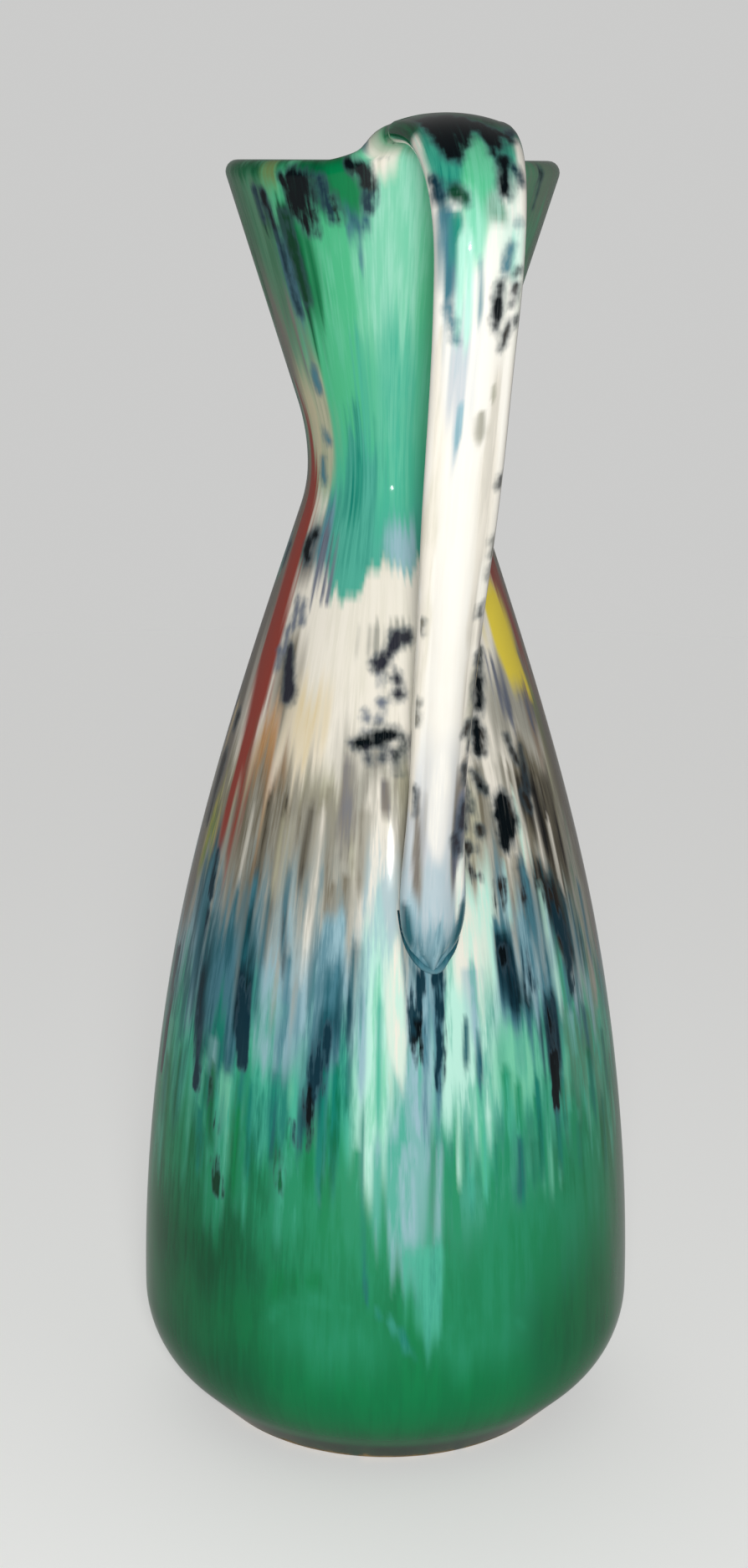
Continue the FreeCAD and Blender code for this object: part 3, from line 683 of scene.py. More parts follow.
# soft runs: thin glaze, pooled glaze, softness in mm, then the places they flow through with the half
# width there in mm
BODY_RUNS = (
    # neck
    ("bottle", "navy", 1.6, (-54.5, 208, 1.2), (-53, 198, 1.6), (-50.5, 182, 0.6)),
    ("slate", "navy", 1.4, (-60.5, 205, 0.7), (-59, 194, 1.0), (-57.6, 184, 0.3)),
    ("slate", "petrol", 0.9, (-26.5, 205, 0.7), (-24.5, 199, 0.4), (-23.5, 194, 0.1)),
    ("moss", "fern", 1.6, (-46, 204, 0.6), (-45, 194, 0.8), (-44, 184, 0.2)),
    ("bottle", "navy", 1.4, (-67, 210, 0.8), (-66, 204, 0.6), (-65, 200, 0.2)),
    ("bottle", "navy", 1.4, (-63, 210, 1.0), (-60.5, 203, 0.8), (-59, 197, 0.2)),
    ("teal", "sea", 3.0, (-33, 180, 0.4), (-33.5, 168, 1.0), (-37, 158, 0.9), (-41, 153, 0.3)),
    ("teal", "sea", 1.2, (-21, 176, 0.2), (-20.5, 160, 0.3)),
    ("sea", "teal", 2.4, (-27, 192, 0.3), (-27, 172, 0.5), (-28, 160, 0.2)),
    ("mint", "frost", 3.0, (-17, 212, 0.4), (-18, 192, 0.5), (-18, 178, 0.2)),
    ("mint", "frost", 3.0, (-6, 210, 0.5), (-7, 194, 0.5), (-7.5, 180, 0.2)),
    ("iris", "plum", 2.6, (-51.4, 158, 0.5), (-49.6, 150, 1.3), (-46.6, 145, 1.0), (-45, 143.4, 0.4)),
    # red stripe
    (
        "brick", "brick", 1.2, (-82, 178, 1.2), (-75.4, 150, 2.3), (-71.6, 128, 2.7), (-72, 110, 1.5),
        (-73, 90, 0.2),
    ),
    ("brick", "taupe", 1.0, (-69, 128, 0.8), (-66.5, 112, 1.0), (-66, 88, 0.3)),
    # shoulder
    ("stone", "iris", 3.0, (-19, 143, 0.3), (-18.4, 138, 1.2), (-17, 134.6, 0.3)),
    ("stone", "iris", 3.2, (-10, 143, 0.4), (-8, 139.6, 1.8), (-7, 136.6, 0.3)),
    ("mauve", "iris", 1.4, (-13, 119, 0.4), (-12, 114, 0.7), (-11.4, 110, 0.2)),
    ("iris", "plum", 2.0, (34, 138, 0.5), (38, 128, 1.1), (40, 122, 0.4)),
    ("iris", "plum", 2.0, (50, 131, 0.6), (53, 125, 1.0), (53, 120, 0.3)),
    ("yellow", "yellow", 1.2, (53, 136, 1.2), (58, 129, 0.7), (60, 124, 0.2)),
    ("stone", "slate", 1.0, (18.5, 127, 0.8), (17, 122, 0.5)),
    ("brick", "mauve", 2.4, (54, 153, 0.8), (60, 145, 1.4), (64, 135, 1.2), (66, 126, 0.3)),
    # brownish streaks below the cream
    ("umber", "taupe", 2.2, (-53, 116, 0.2), (-51.6, 104, 0.7), (-51, 90, 0.8)),
    ("taupe", "slate", 2.0, (-57.5, 110, 0.2), (-57, 98, 0.7), (-57, 80, 0.3)),
    ("taupe", "umber", 1.2, (-46, 116, 0.3), (-46.5, 104, 0.8), (-46, 92, 0.4)),
    ("taupe", "umber", 1.2, (-36, 116, 0.2), (-36.5, 104, 0.6), (-36.5, 94, 0.1)),
    ("umber", "slate", 1.2, (-42, 106, 0.2), (-40.5, 92, 0.7), (-39, 81, 0.3)),
    ("mauve", "iris", 2.4, (-25, 123, 0.3), (-25.5, 114, 1.0), (-26, 100, 0.3)),
    ("taupe", "stone", 1.2, (-30.5, 120, 0.3), (-30, 106, 0.9), (-29, 92, 0.3)),
    ("taupe", "stone", 1.6, (-20, 116, 0.2), (-20, 104, 0.5), (-20, 94, 0.2)),
    ("cream", "stone", 2.0, (-33, 118, 0.3), (-33, 102, 0.9), (-34, 88, 0.6), (-35, 80, 0.2)),
    ("buff", "stone", 1.8, (-43.5, 114, 0.2), (-44, 102, 0.5), (-44, 90, 0.2)),
    ("mist", "lagoon", 3.0, (-43, 90, 0.6), (-43, 76, 2.0), (-42, 64, 0.8)),
    ("stone", "cream", 1.0, (-58.5, 114, 0.2), (-59, 102, 0.5), (-60, 92, 0.2)),
    # dark masses of the belly
    ("slate", "petrol", 5.0, (-75, 106, 0.8), (-73, 92, 2.4), (-68, 76, 2.6), (-65, 62, 0.8)),
    ("petrol", "navy", 3.0, (-71, 98, 0.6), (-69, 86, 1.8), (-66.5, 74, 2.0), (-64, 60, 0.5)),
    ("navy", "ink", 2.4, (-70, 88, 0.4), (-67.4, 76, 1.8), (-65, 69, 1.6), (-63.6, 62, 0.4)),
    ("slate", "petrol", 4.0, (-54, 104, 0.6), (-52.4, 90, 2.4), (-50.4, 78, 2.0), (-48.6, 64, 0.5)),
    ("petrol", "ink", 2.6, (-52.4, 98, 0.3), (-51.6, 88, 1.5), (-50.4, 78, 1.9), (-48.6, 68, 0.4)),
    ("navy", "ink", 2.2, (-51.6, 88, 0.3), (-50.6, 80, 1.2), (-49.2, 71, 0.4)),
    ("mist", "slate", 5.0, (-25, 100, 1.2), (-26, 88, 3.8), (-29, 75, 3.6), (-33, 58, 1.2)),
    ("slate", "petrol", 3.6, (-24.6, 93, 0.6), (-26.6, 80, 2.2), (-30, 67, 2.0), (-32.6, 54, 0.5)),
    ("petrol", "navy", 2.6, (-25.6, 86, 0.4), (-28.4, 74, 1.8), (-31.4, 61, 1.2), (-33, 54, 0.3)),
    ("navy", "ink", 2.0, (-28, 76, 0.3), (-30.4, 66, 1.1), (-32, 57, 0.4)),
    ("petrol", "navy", 1.8, (-20, 96, 0.5), (-21.5, 82, 1.1), (-22.5, 70, 0.3)),
    ("teal", "petrol", 2.6, (-38, 74, 0.5), (-38.5, 62, 1.2), (-39, 48, 0.3)),
    ("slate", "mist", 2.2, (-36.5, 88, 0.4), (-37, 76, 1.4), (-37.5, 62, 0.4)),
    ("teal", "moss", 2.6, (-23, 76, 0.6), (-24, 62, 1.2), (-24, 46, 0.3)),
    ("teal", "moss", 2.0, (-46, 70, 0.4), (-45, 56, 0.8), (-42, 43, 0.3)),
    ("moss", "petrol", 1.8, (-59.5, 72, 0.4), (-57.5, 60, 0.9), (-54, 47, 0.3)),
    ("fern", "moss", 1.6, (-49, 66, 0.4), (-49.5, 54, 0.7), (-49, 44, 0.2)),
    ("slate", "petrol", 3.0, (18, 97, 0.5), (20.6, 90, 2.6), (24, 80, 2.6), (24.6, 70, 0.4)),
    ("navy", "ink", 2.2, (19.4, 95, 0.4), (21.4, 89, 2.0), (24, 82, 2.4), (22.6, 76, 0.4)),
    ("slate", "mist", 2.6, (27.4, 96, 0.6), (28.4, 88, 1.4), (29, 78, 0.4)),
    ("slate", "petrol", 2.8, (35.4, 90, 0.4), (34, 80, 2.2), (33.4, 70, 1.8), (33.6, 57, 0.4)),
    ("navy", "ink", 2.2, (34.6, 84, 0.4), (33.6, 77, 2.0), (33.2, 69, 1.5), (33.6, 60, 0.3)),
    ("umber", "petrol", 4.0, (36, 106, 0.8), (41, 96, 3.6), (45.4, 87, 2.6), (45, 75, 0.5)),
    ("umber", "ink", 2.4, (37, 101, 0.6), (41, 95.4, 2.4), (46, 88, 2.2), (44.6, 80, 0.4)),
    ("slate", "umber", 2.6, (50, 98, 1.0), (51, 88, 1.8), (51.5, 74, 0.4)),
    ("slate", "umber", 1.4, (31.5, 106, 0.4), (31, 96, 0.8), (31.5, 86, 0.4)),
    ("taupe", "umber", 3.0, (38, 122, 0.8), (40, 113, 2.6), (44, 104, 2.2), (46, 97, 0.6)),
    ("umber", "ink", 2.8, (38, 119, 0.6), (40.4, 113, 2.4), (44, 106, 2.0), (46, 99, 0.4)),
    ("umber", "taupe", 2.4, (51, 118, 0.4), (51, 104, 2.0), (53, 88, 0.8)),
    ("cream", "stone", 0.9, (41.3, 116, 0.3), (41, 104, 0.5), (41.5, 96, 0.1)),
    ("cream", "stone", 0.9, (47.5, 110, 0.2), (47.6, 101, 0.6), (48, 94, 0.1)),
    ("cream", "frost", 1.0, (32.5, 116, 0.3), (33.5, 106, 0.7), (34.5, 96, 0.2)),
    ("frost", "mist", 1.4, (24.5, 106, 0.3), (24, 97, 0.8), (25, 90, 0.2)),
    ("frost", "mist", 1.2, (37, 102, 0.3), (37.4, 92, 0.6), (38.4, 80, 0.6), (38.6, 70, 0.1)),
    # under the toe
    ("slate", "mist", 1.6, (-1.6, 91, 1.4), (-1.8, 84, 1.7), (-2.4, 76, 1.2), (-2.4, 68, 0.3)),
    ("slate", "petrol", 1.0, (1.2, 90, 0.5), (0.6, 76, 0.4), (-0.2, 56, 0.2)),
    ("slate", "mist", 1.2, (-4, 74, 0.2), (-2.4, 62, 0.4), (-1.4, 48, 0.3)),
    ("lagoon", "sea", 1.2, (-13.6, 88, 0.2), (-13.4, 70, 0.4), (-13, 54, 0.2)),
    ("frost", "cream", 1.6, (-10.6, 92, 0.5), (-10.2, 74, 0.9), (-10, 54, 0.3)),
    (
        "teal", "petrol", 0.9, (-16.8, 74, 0.1), (-17, 56, 0.35), (-16.6, 40, 0.3), (-15.5, 34, 0.3),
        (-9.5, 30.5, 0.2),
    ),
    ("teal", "sea", 1.6, (-16, 35, 0.3), (-9, 30, 0.5), (-6, 26, 0.5), (-2, 21, 0.1)),
    ("jade", "fern", 2.0, (-42, 26, 0.2), (-36, 32, 0.5), (-27, 34.4, 0.6), (-18, 33, 0.5), (-10, 28, 0.2)),
    ("jade", "fern", 2.0, (-2, 27, 0.2), (4, 30.4, 0.5), (12, 31, 0.6), (20, 28, 0.5), (26, 23, 0.2)),
    ("fern", "moss", 3.4, (-44, 29, 0.3), (-36, 36, 0.6), (-26, 38, 0.6), (-17, 37, 0.2)),
    ("lagoon", "mist", 4.6, (-9, 66, 4.6), (-8, 50, 4.2), (-5, 38, 2.2), (-3, 28, 0.6)),
    ("mist", "lagoon", 2.0, (-7, 60, 1.4), (-6, 48, 1.2), (-5, 38, 0.4)),
    ("sea", "teal", 4.0, (-4, 46, 2.6), (-3, 34, 1.6), (-2, 20, 0.3)),
    ("teal", "petrol", 1.2, (4.6, 76, 0.2), (3.6, 58, 0.5), (2.6, 42, 0.2)),
    ("teal", "sea", 1.4, (8, 66, 0.2), (7, 54, 0.5), (6, 42, 0.3)),
    ("frost", "mint", 2.0, (5.6, 70, 0.4), (5, 58, 0.6), (3.6, 46, 0.2)),
    ("sea", "leaf", 1.6, (12.6, 66, 0.4), (12, 56, 0.8), (11, 46, 0.2)),
    ("teal", "petrol", 1.8, (21, 62, 0.2), (20, 52, 0.6), (19, 44, 0.2)),
    ("teal", "petrol", 1.6, (16, 84, 0.3), (16.4, 74, 0.5), (16, 64, 0.2)),
    ("petrol", "slate", 1.0, (8.4, 82, 0.2), (7.6, 75, 0.5), (7, 69, 0.1)),
    ("petrol", "slate", 1.0, (12.4, 80, 0.3), (11.6, 73, 0.6), (11, 65, 0.1)),
)
STRAP_RUNS = (
    ("petrol", "navy", 1.4, (-6.2, 22, 0.7), (-5.4, 26, 0.6), (-5.0, 31, 0.3)),
    ("slate", "petrol", 2.0, (-5.4, 24, 0.8), (-4.7, 30, 1.4), (-4.1, 37, 1.0), (-3.5, 45, 0.3)),
    ("teal", "sea", 1.2, (-3.8, 25, 0.4), (-3.6, 31, 0.6), (-3.4, 37, 0.3)),
    ("pearl", "mist", 2.0, (-2.4, 34, 1.0), (-2.2, 44, 1.4), (-2.1, 56, 1.0), (-2, 72, 0.3)),
    ("frost", "mint", 1.6, (-2.4, 27, 1.0), (-2.2, 34, 1.0), (-2.0, 42, 0.7), (-1.9, 48, 0.2)),
    ("slate", "mist", 0.6, (-0.8, 30, 0.3), (-0.6, 38, 0.3), (-0.6, 45, 0.1)),
    ("mist", "slate", 0.8, (-1.6, 51, 0.2), (-1.9, 56, 0.5), (-2.3, 61, 0.3)),
    ("stone", "buff", 1.8, (1.0, 52.6, 0.2), (1.3, 56, 0.6), (1.2, 60, 0.2)),
    ("stone", "buff", 0.7, (2.5, 48.6, 0.2), (2.6, 51, 0.4), (2.6, 53.4, 0.1)),
    ("mauve", "stone", 1.0, (4.4, 84, 0.2), (4.5, 94, 0.4), (4.3, 108, 0.3)),
    ("mauve", "stone", 1.8, (3.6, 108, 0.3), (3.0, 118, 0.9), (2.6, 128, 1.1), (2.4, 139, 0.5)),
    ("iris", "plum", 1.4, (4.1, 114, 0.4), (3.7, 122, 0.9), (3.0, 128, 0.8), (2.4, 136, 0.3)),
    ("mauve", "stone", 2.0, (-3.8, 112, 0.3), (-3.4, 122, 0.8), (-2.9, 132, 0.9), (-2.6, 140, 0.4)),
    ("white", "frost", 0.8, (4.9, 124, 0.2), (4.2, 131, 0.5), (3.4, 139, 0.2)),
    # petrol and navy down both sides of the toe: pooled glaze and painted shade where the toe meets the belly
    ("petrol", "navy", 1.2, (-5.0, 134, 0.3), (-4.2, 140, 0.8), (-2.2, 146, 0.3)),
    ("petrol", "navy", 1.2, (4.9, 134, 0.3), (4.0, 140, 0.8), (2.0, 146, 0.3)),
    ("mist", "slate", 1.2, (0.6, 138, 0.8), (0.3, 143, 0.8), (0, 149, 0.6)),
)

# dark glaze with sharp edges: glaze, then the places it flows through
BODY_MARKS = (
    # below the lip
    ("navy", (-67, 208.5, 0.5), (-66.5, 204.5, 0.3)), ("ink", (-63, 208, 0.7), (-60.5, 203.6, 0.3)),
    ("ink", (-51, 210.4, 0.8), (-47, 205, 1.0)), ("ink", (-46.5, 210.4, 1.5), (-44.8, 203, 0.5)),
    ("ink", (-42.5, 210.4, 1.2), (-40.8, 202.5, 0.3)), ("bottle", (-54, 205, 0.8), (-51.6, 192, 0.5)),
    ("navy", (-36, 210.5, 0.3), (-33.2, 204.8, 0.4)), ("ink", (-32.4, 208, 0.3), (-31.2, 204.6, 0.3)),
    ("ink", (-25, 212.8, 0.6), (-21.5, 211.8, 0.7)), ("ink", (-21.5, 212, 0.8), (-19, 209, 0.6)),
    ("navy", (-19, 209, 0.6), (-20, 206.4, 0.4)), ("navy", (-59.6, 202, 0.4), (-58, 190, 0.3)),
    ("slate", (-17.4, 216.2, 0.5), (-15, 215, 0.7)), ("umber", (-13.8, 219, 0.2), (-12.6, 217.6, 0.4)),
    ("umber", (-11, 218.8, 0.2), (-10, 217.8, 0.3)),
    ("slate", (-58, 181, 0.4), (-57.6, 178, 0.5)), ("slate", (-60.5, 171, 0.2), (-58, 169.6, 0.3)),
    ("slate", (-64.4, 166.5, 0.15), (-64.8, 163.8, 0.3)), ("slate", (-64.6, 165, 0.2), (-62.4, 163, 0.15)),
    ("ink", (48, 211.5, 0.4), (49, 206.5, 0.25)),
    # shoulder
    ("ink", (-64.5, 153.5, 0.8), (-61, 154.6, 0.7)), ("ink", (-65, 152, 0.7), (-62, 150.4, 0.5)),
    ("iris", (-57, 143.6, 0.35), (-56.2, 141.2, 0.5)), ("iris", (-63, 140, 0.2), (-62, 136.4, 0.4)),
    ("iris", (-65, 136, 0.35), (-64, 133.5, 0.3)), ("plum", (-59, 136.5, 0.6), (-53.6, 129.6, 1.2)),
    ("iris", (-61.5, 144.5, 0.15), (-60, 140, 0.2)),
    # beside the strap
    ("plum", (-16.8, 135.6, 0.9), (-14.4, 136.2, 1.0), (-11, 137.8, 0.5), (-8, 139.6, 1.1)),
    ("plum", (-9, 139, 0.9), (-4.5, 140, 0.8)), ("plum", (-9.4, 133.8, 0.5), (-8.8, 133.7, 0.5)),
    ("plum", (-8.8, 131.3, 0.7), (-7.8, 131.2, 0.7)), ("iris", (-14.6, 133, 0.2), (-14.3, 133, 0.2)),
    ("iris", (-14.5, 129.8, 0.4), (-13.6, 129.7, 0.35)),
    ("iris", (-20.4, 128.2, 0.3), (-19.6, 127.2, 0.4)),
    ("iris", (-15.4, 127.7, 0.35), (-14.8, 127.6, 0.35)), ("plum", (-25, 123.6, 0.2), (-22.2, 123.2, 0.5)),
    ("ink", (-22.4, 123.4, 0.8), (-16, 124.4, 1.0)), ("ink", (-16, 124.6, 1.0), (-9.4, 125.2, 0.7)),
    ("ink", (-7.6, 124.6, 0.5), (-6, 124.2, 0.5)), ("plum", (-13.6, 121.4, 0.4), (-10.4, 122.4, 0.3)),
    ("ink", (-9.4, 121.9, 0.6), (-6.6, 122.1, 0.5)), ("ink", (-9.2, 119.5, 0.2), (-7.4, 119.3, 0.3)),
    ("plum", (-19.5, 122, 0.2), (-18, 120.8, 0.2)),
    ("ink", (26.5, 133, 0.8), (24, 128.6, 0.7)),
    ("ink", (30.5, 137, 0.2), (27, 132.6, 0.4)), ("ink", (21.6, 125.6, 0.9), (20.6, 121.4, 0.7)),
    ("umber", (24, 124.6, 0.4), (22.6, 121.6, 0.4)), ("ink", (19.6, 116.3, 0.6), (21.8, 115.4, 0.4)),
    ("umber", (17.6, 118.3, 0.3), (19, 117.4, 0.3)), ("ink", (14.3, 115.6, 0.25), (14.7, 115.3, 0.25)),
    ("ink", (15.2, 113.4, 0.25), (15.3, 113, 0.2)), ("ink", (13.4, 117.8, 0.2), (13.6, 117.4, 0.2)),
    ("plum", (12, 114, 0.6), (11.2, 110.6, 0.5)), ("ink", (27.2, 113.6, 1.4), (27, 107.4, 1.4)),
    ("ink", (25.4, 111.4, 1.1), (28.6, 109.8, 1.8)), ("umber", (29.6, 113.4, 0.5), (30.4, 111, 0.6)),
    ("umber", (17, 109.8, 0.5), (17.5, 109, 0.4)),
    ("umber", (11.6, 107.3, 0.5), (14.4, 106.8, 0.45)), ("umber", (12.5, 103.6, 0.4), (14.6, 102.6, 0.5)),
    ("plum", (9.6, 109.4, 0.5), (10.4, 104.4, 0.4)),
    ("umber", (37.4, 114, 0.5), (38.6, 111.6, 0.7)), ("umber", (34.6, 123, 0.25), (37.6, 119, 0.35)),
    ("umber", (40.6, 121, 0.2), (40, 114, 0.4)), ("umber", (29.5, 103, 0.2), (31, 97.6, 0.4)),
    ("umber", (22, 101, 0.3), (20.6, 97.5, 0.4)), ("umber", (37.4, 99, 0.4), (39.6, 96, 0.8)),
    # belly
    ("navy", (-66.4, 76, 0.5), (-64.4, 65, 0.5)), ("navy", (-70, 92, 0.2), (-69, 85, 0.4)),
    ("navy", (-51.4, 84, 0.2), (-50.2, 77, 0.5), (-49, 71, 0.2)),
    ("bottle", (-58, 66, 0.3), (-56.6, 59, 0.4)), ("bottle", (-55.4, 54, 0.3), (-53.6, 49, 0.4)),
    ("moss", (-37.6, 58, 0.2), (-36.6, 52, 0.3)),
    ("navy", (-27, 80, 0.3), (-29.4, 68, 0.8)), ("ink", (-29.6, 69, 0.7), (-31.6, 59, 0.3)),
    ("navy", (-33.6, 63, 0.25), (-32.4, 59.6, 0.35)), ("navy", (-5.2, 85, 0.3), (-5, 79, 0.6)),
    ("ink", (-5, 81, 0.6), (-2.8, 74, 0.25)), ("navy", (1.2, 90, 0.5), (1.6, 82.6, 0.5)),
    ("navy", (1.6, 83, 0.4), (0.2, 70, 0.12)), ("navy", (-2.8, 90, 0.35), (-3.6, 86, 0.3)),
    ("ink", (20.6, 90, 0.4), (24.4, 84, 0.8)), ("ink", (34, 80, 0.2), (33, 75, 0.7)),
    ("ink", (33.2, 72, 0.6), (33.6, 63, 0.2)),
    ("navy", (40.6, 95, 0.5), (42.6, 92, 0.8)), ("navy", (45.4, 90, 0.6), (44, 80, 0.3)),
    ("navy", (26, 90, 0.4), (28.4, 83.6, 0.4)), ("navy", (-71.6, 102, 0.3), (-71, 96, 0.5)),
)
STRAP_MARKS = (
    ("ink", (-4.8, 7, 1.2), (-4, 13, 1.8), (-3.2, 18.4, 1.2)),
    ("ink", (-2.5, 8, 1.4), (-1.6, 13.5, 1.5), (-1.5, 16.6, 0.8)),
    ("ink", (-0.6, 10, 1.1), (0.6, 13.4, 1.1)), ("ink", (1.6, 12.4, 1.1), (2.8, 16.4, 1.3)),
    ("ink", (3.4, 14, 0.8), (5.2, 14.4, 0.8)), ("ink", (2.2, 17.4, 0.5), (2.1, 18.6, 0.3)),
    ("navy", (5.4, 14.2, 0.6), (6.6, 11.4, 0.4)), ("navy", (-6.4, 21.4, 0.3), (-5.6, 24, 0.5)),
    ("bottle", (-4, 23.4, 0.5), (-2.6, 24.6, 0.5)), ("ink", (3.5, 19.4, 0.8), (3.1, 23.6, 0.7)),
    ("navy", (5, 20.3, 0.4), (6, 21.8, 0.5)), ("slate", (3.9, 30.4, 0.25), (3.2, 33, 0.2)),
    ("slate", (4.9, 27.4, 0.15), (5, 27.6, 0.15)), ("umber", (5.2, 33.6, 0.25), (4.9, 34, 0.2)),
    ("umber", (5, 35.6, 0.25), (4.6, 36.4, 0.25)), ("umber", (4.8, 37.4, 0.2), (4.4, 38, 0.2)),
    ("ink", (2.4, 35.4, 0.4), (2.3, 38, 0.7), (2.1, 41, 0.3)), ("umber", (4.3, 40.4, 0.2), (3.4, 44, 0.3)),
    ("umber", (5.5, 40.2, 0.2), (5.5, 40.6, 0.2)), ("slate", (-4.4, 38.4, 0.15), (-3.4, 43, 0.15)),
    ("umber", (5.1, 63.8, 0.12), (5, 65.2, 0.1)), ("taupe", (5.0, 73.6, 0.1), (5.1, 76.6, 0.15)),
    ("taupe", (5.1, 78, 0.1), (5, 80, 0.1)), ("umber", (4.1, 84.4, 0.05), (3.9, 86.2, 0.08)),
    ("umber", (4.6, 93, 0.1), (4.5, 94.2, 0.1)), ("umber", (4.7, 96.6, 0.1), (4.6, 101, 0.2)),
    ("umber", (3.9, 104.8, 0.3), (3.4, 106.8, 0.25)), ("umber", (4.3, 108, 0.15), (4.2, 109.2, 0.1)),
    ("taupe", (-4.7, 87.2, 0.05), (-4.6, 89.2, 0.05)), ("taupe", (-4.6, 100.4, 0.1), (-4.4, 104.6, 0.05)),
    ("umber", (-4.2, 115.6, 0.1), (-4.0, 120, 0.1)), ("umber", (3.9, 112, 0.1), (4.0, 115, 0.1)),
    ("plum", (4.0, 118.6, 0.4), (3.7, 122.6, 0.6)), ("plum", (2.8, 123.6, 0.4), (3.7, 126.6, 0.6)),
)

# the bead by height: slate and mist round the toe's tip, then petrol, navy and ink up its sides as pooled
# glaze and painted shade in the crease, then the body's browns and greys
BEAD_GLAZE_AND_SHADE = (
    (86, "slate", "mist", 0.8), (90, "slate", "petrol", 0.8), (92.5, "petrol", "navy", 0.8),
    (99, "navy", "ink", 0.8), (104, "umber", "taupe", 0.8), (110, "stone", "umber", 0.6),
)
# height in mm, and the share by which the ink is drawn out in streaks there; then the strap's share
FEATHERING = ((60, 1), (96, 1), (108, 0.3), (114, 0), (190, 0), (205, 0.3), (215, 0.3))
STRAP_FEATHERING = 0.1
# height, and how far soft edges wander up and down there: both in mm
LIVELINESS = ((0, 0.5), (40, 1), (60, 3), (100, 3.5), (120, 2), (145, 0.8), (215, 0.8))

INK_REACH = 2.0                # mm over which the ink's edge is told to its material
UPRIGHT_SOFTNESS = 2.0         # how much softer a patch is up and down than sideways
PATCH_SQUARENESS = 2.4         # power of its outline: 2 for an oval, more towards a rectangle
RUN_FADES = (0.15, 0.55)       # shares of its length in which a run fades in, and from which out
RUN_FRAY = 0.3                 # share of its softness by which its sides are broken up
RUN_SINK = 0.9                 # and by which its ends sink out of sight
FLOW_RADIUS = 30.0             # mm; the streaks are as fine as on a cylinder of this radius
JOINT_RADIUS = 27.0            # mm; where the strap goes on with the streaks of the body
WAVES = 24                     # in a noise
FAR_OFF = 99.0                 # mm outside a stroke, before it is measured
UNMARKED = 9.0                 # mm outside any mark, where a coat has none


def wander(azimuth, height, seed, finest, tallest):
    """Streaky noise of spread 1 that closes on itself round the vase.

    The azimuth is in radians; finest is the most waves in a turn, tallest a wave's height in mm.
    """
    chance = np.random.default_rng(seed)
    total = np.zeros(np.shape(azimuth))
    for _ in range(WAVES):
        turns = chance.integers(1, finest)
        climb = chance.normal() / tallest
        total += np.cos(turns * azimuth + climb * height + chance.uniform(0, 2 * math.pi))
    return total / math.sqrt(WAVES / 2)


class Coat:
    """Glazes laid on a surface: a thin and a pooled colour everywhere, and marks in ink."""

    def __init__(self, across, along, stretch, sway=0.0, stray=0.0, fray=0.0):
        self.across = across                   # degrees on the body, mm on the strap
        self.along = along
        self.stretch = stretch                 # mm in one unit of across
        self.sway = sway                       # mm that soft edges wander up or down
        self.stray = stray                     # and sideways
        self.fray = fray                       # how the sides of soft runs are broken up
        self.thin, self.pooled, self.ink = np.zeros((3, len(across), 3))
        self.streaky, self.feathery = np.zeros((2, len(across)))
        self.depth = np.full(len(across), -UNMARKED)

    def colour(self, name):
        return np.array(getattr(bpy.context.scene.vase_glazes, name))

    def base(self, coats):
        heights = [coat[0] for coat in coats]
        for layer, column in ((self.thin, 1), (self.pooled, 2)):
            steps = np.array([self.colour(coat[column]) for coat in coats])
            for channel in range(3):
                layer[:, channel] = np.interp(self.along + self.sway, heights, steps[:, channel])
        self.streaky = np.interp(self.along, heights, [coat[3] for coat in coats])

    def apart(self, across):
        return ((self.across - across + 180) % 360 - 180) * self.stretch

    def lay(self, inside, softness, thin, pooled):
        cover = ease(0.5 + inside / softness)[:, None]
        self.thin += cover * (self.colour(thin) - self.thin)
        self.pooled += cover * (self.colour(pooled) - self.pooled)

    def patch(self, thin, pooled, across, along, half_across, half_along, softness):
        wide = half_across * self.stretch
        side = np.abs(self.apart(across) + self.stray) / wide
        up = np.abs(self.along + self.sway - along) / half_along
        share = (side ** PATCH_SQUARENESS + up ** PATCH_SQUARENESS) ** (1 / PATCH_SQUARENESS)
        # glaze runs down, so upper and lower edges are softer than the sides
        upright = up ** 2 / (side ** 2 + up ** 2 + 1e-6)
        scale = mix(np.minimum(wide, half_along), half_along / UPRIGHT_SOFTNESS, upright)
        self.lay((1 - share) * scale, softness, thin, pooled)

    def within(self, stations):
        """How far inside a stroke each place lies in mm, and the share of the stroke passed there."""
        inside = np.full(len(self.along), -FAR_OFF)
        passed_by = np.zeros(len(self.along))
        legs = len(stations) - 1
        for i in range(legs):
            (across, along, half), (to_across, to_along, to_half) = stations[i:i + 2]
            side, up = self.apart(across), self.along - along
            to_side, to_up = (to_across - across) * self.stretch, to_along - along
            share = np.clip((side * to_side + up * to_up) / (to_side ** 2 + to_up ** 2), 0, 1)
            here = mix(half, to_half, share) - np.hypot(side - share * to_side, up - share * to_up)
            passed_by = np.where(here > inside, (i + share) / legs, passed_by)
            inside = np.maximum(inside, here)
        return inside, passed_by

    def run(self, thin, pooled, softness, *stations):
        inside, share = self.within(stations)
        full_from, full_to = RUN_FADES
        fade = ease(share / full_from) * (1 - ease((share - full_to) / (1 - full_to)))
        inside += softness * (RUN_FRAY * self.fray - RUN_SINK * (1 - fade))
        self.lay(inside, softness, thin, pooled)

    def mark(self, glaze, *stations):
        inside, _ = self.within(stations)
        self.ink[inside > self.depth] = self.colour(glaze)
        self.depth = np.maximum(self.depth, inside)

    def glaze(self, coats, patches, runs, marks):
        self.base(coats)
        for patch in patches:
            self.patch(*patch)
        for run in runs:
            self.run(*run)
        for mark in marks:
            self.mark(*mark)


def blend_coats(under, over, share):
    """Lay the second coat over the first, by a share at each place."""
    for layer in ("thin", "pooled", "streaky", "feathery", "depth"):
        first, second = getattr(under, layer), getattr(over, layer)
        setattr(under, layer, mix(first, second, share if first.ndim == 1 else share[:, None]))
    under.ink = np.where(share[:, None] > 0.5, over.ink, under.ink)


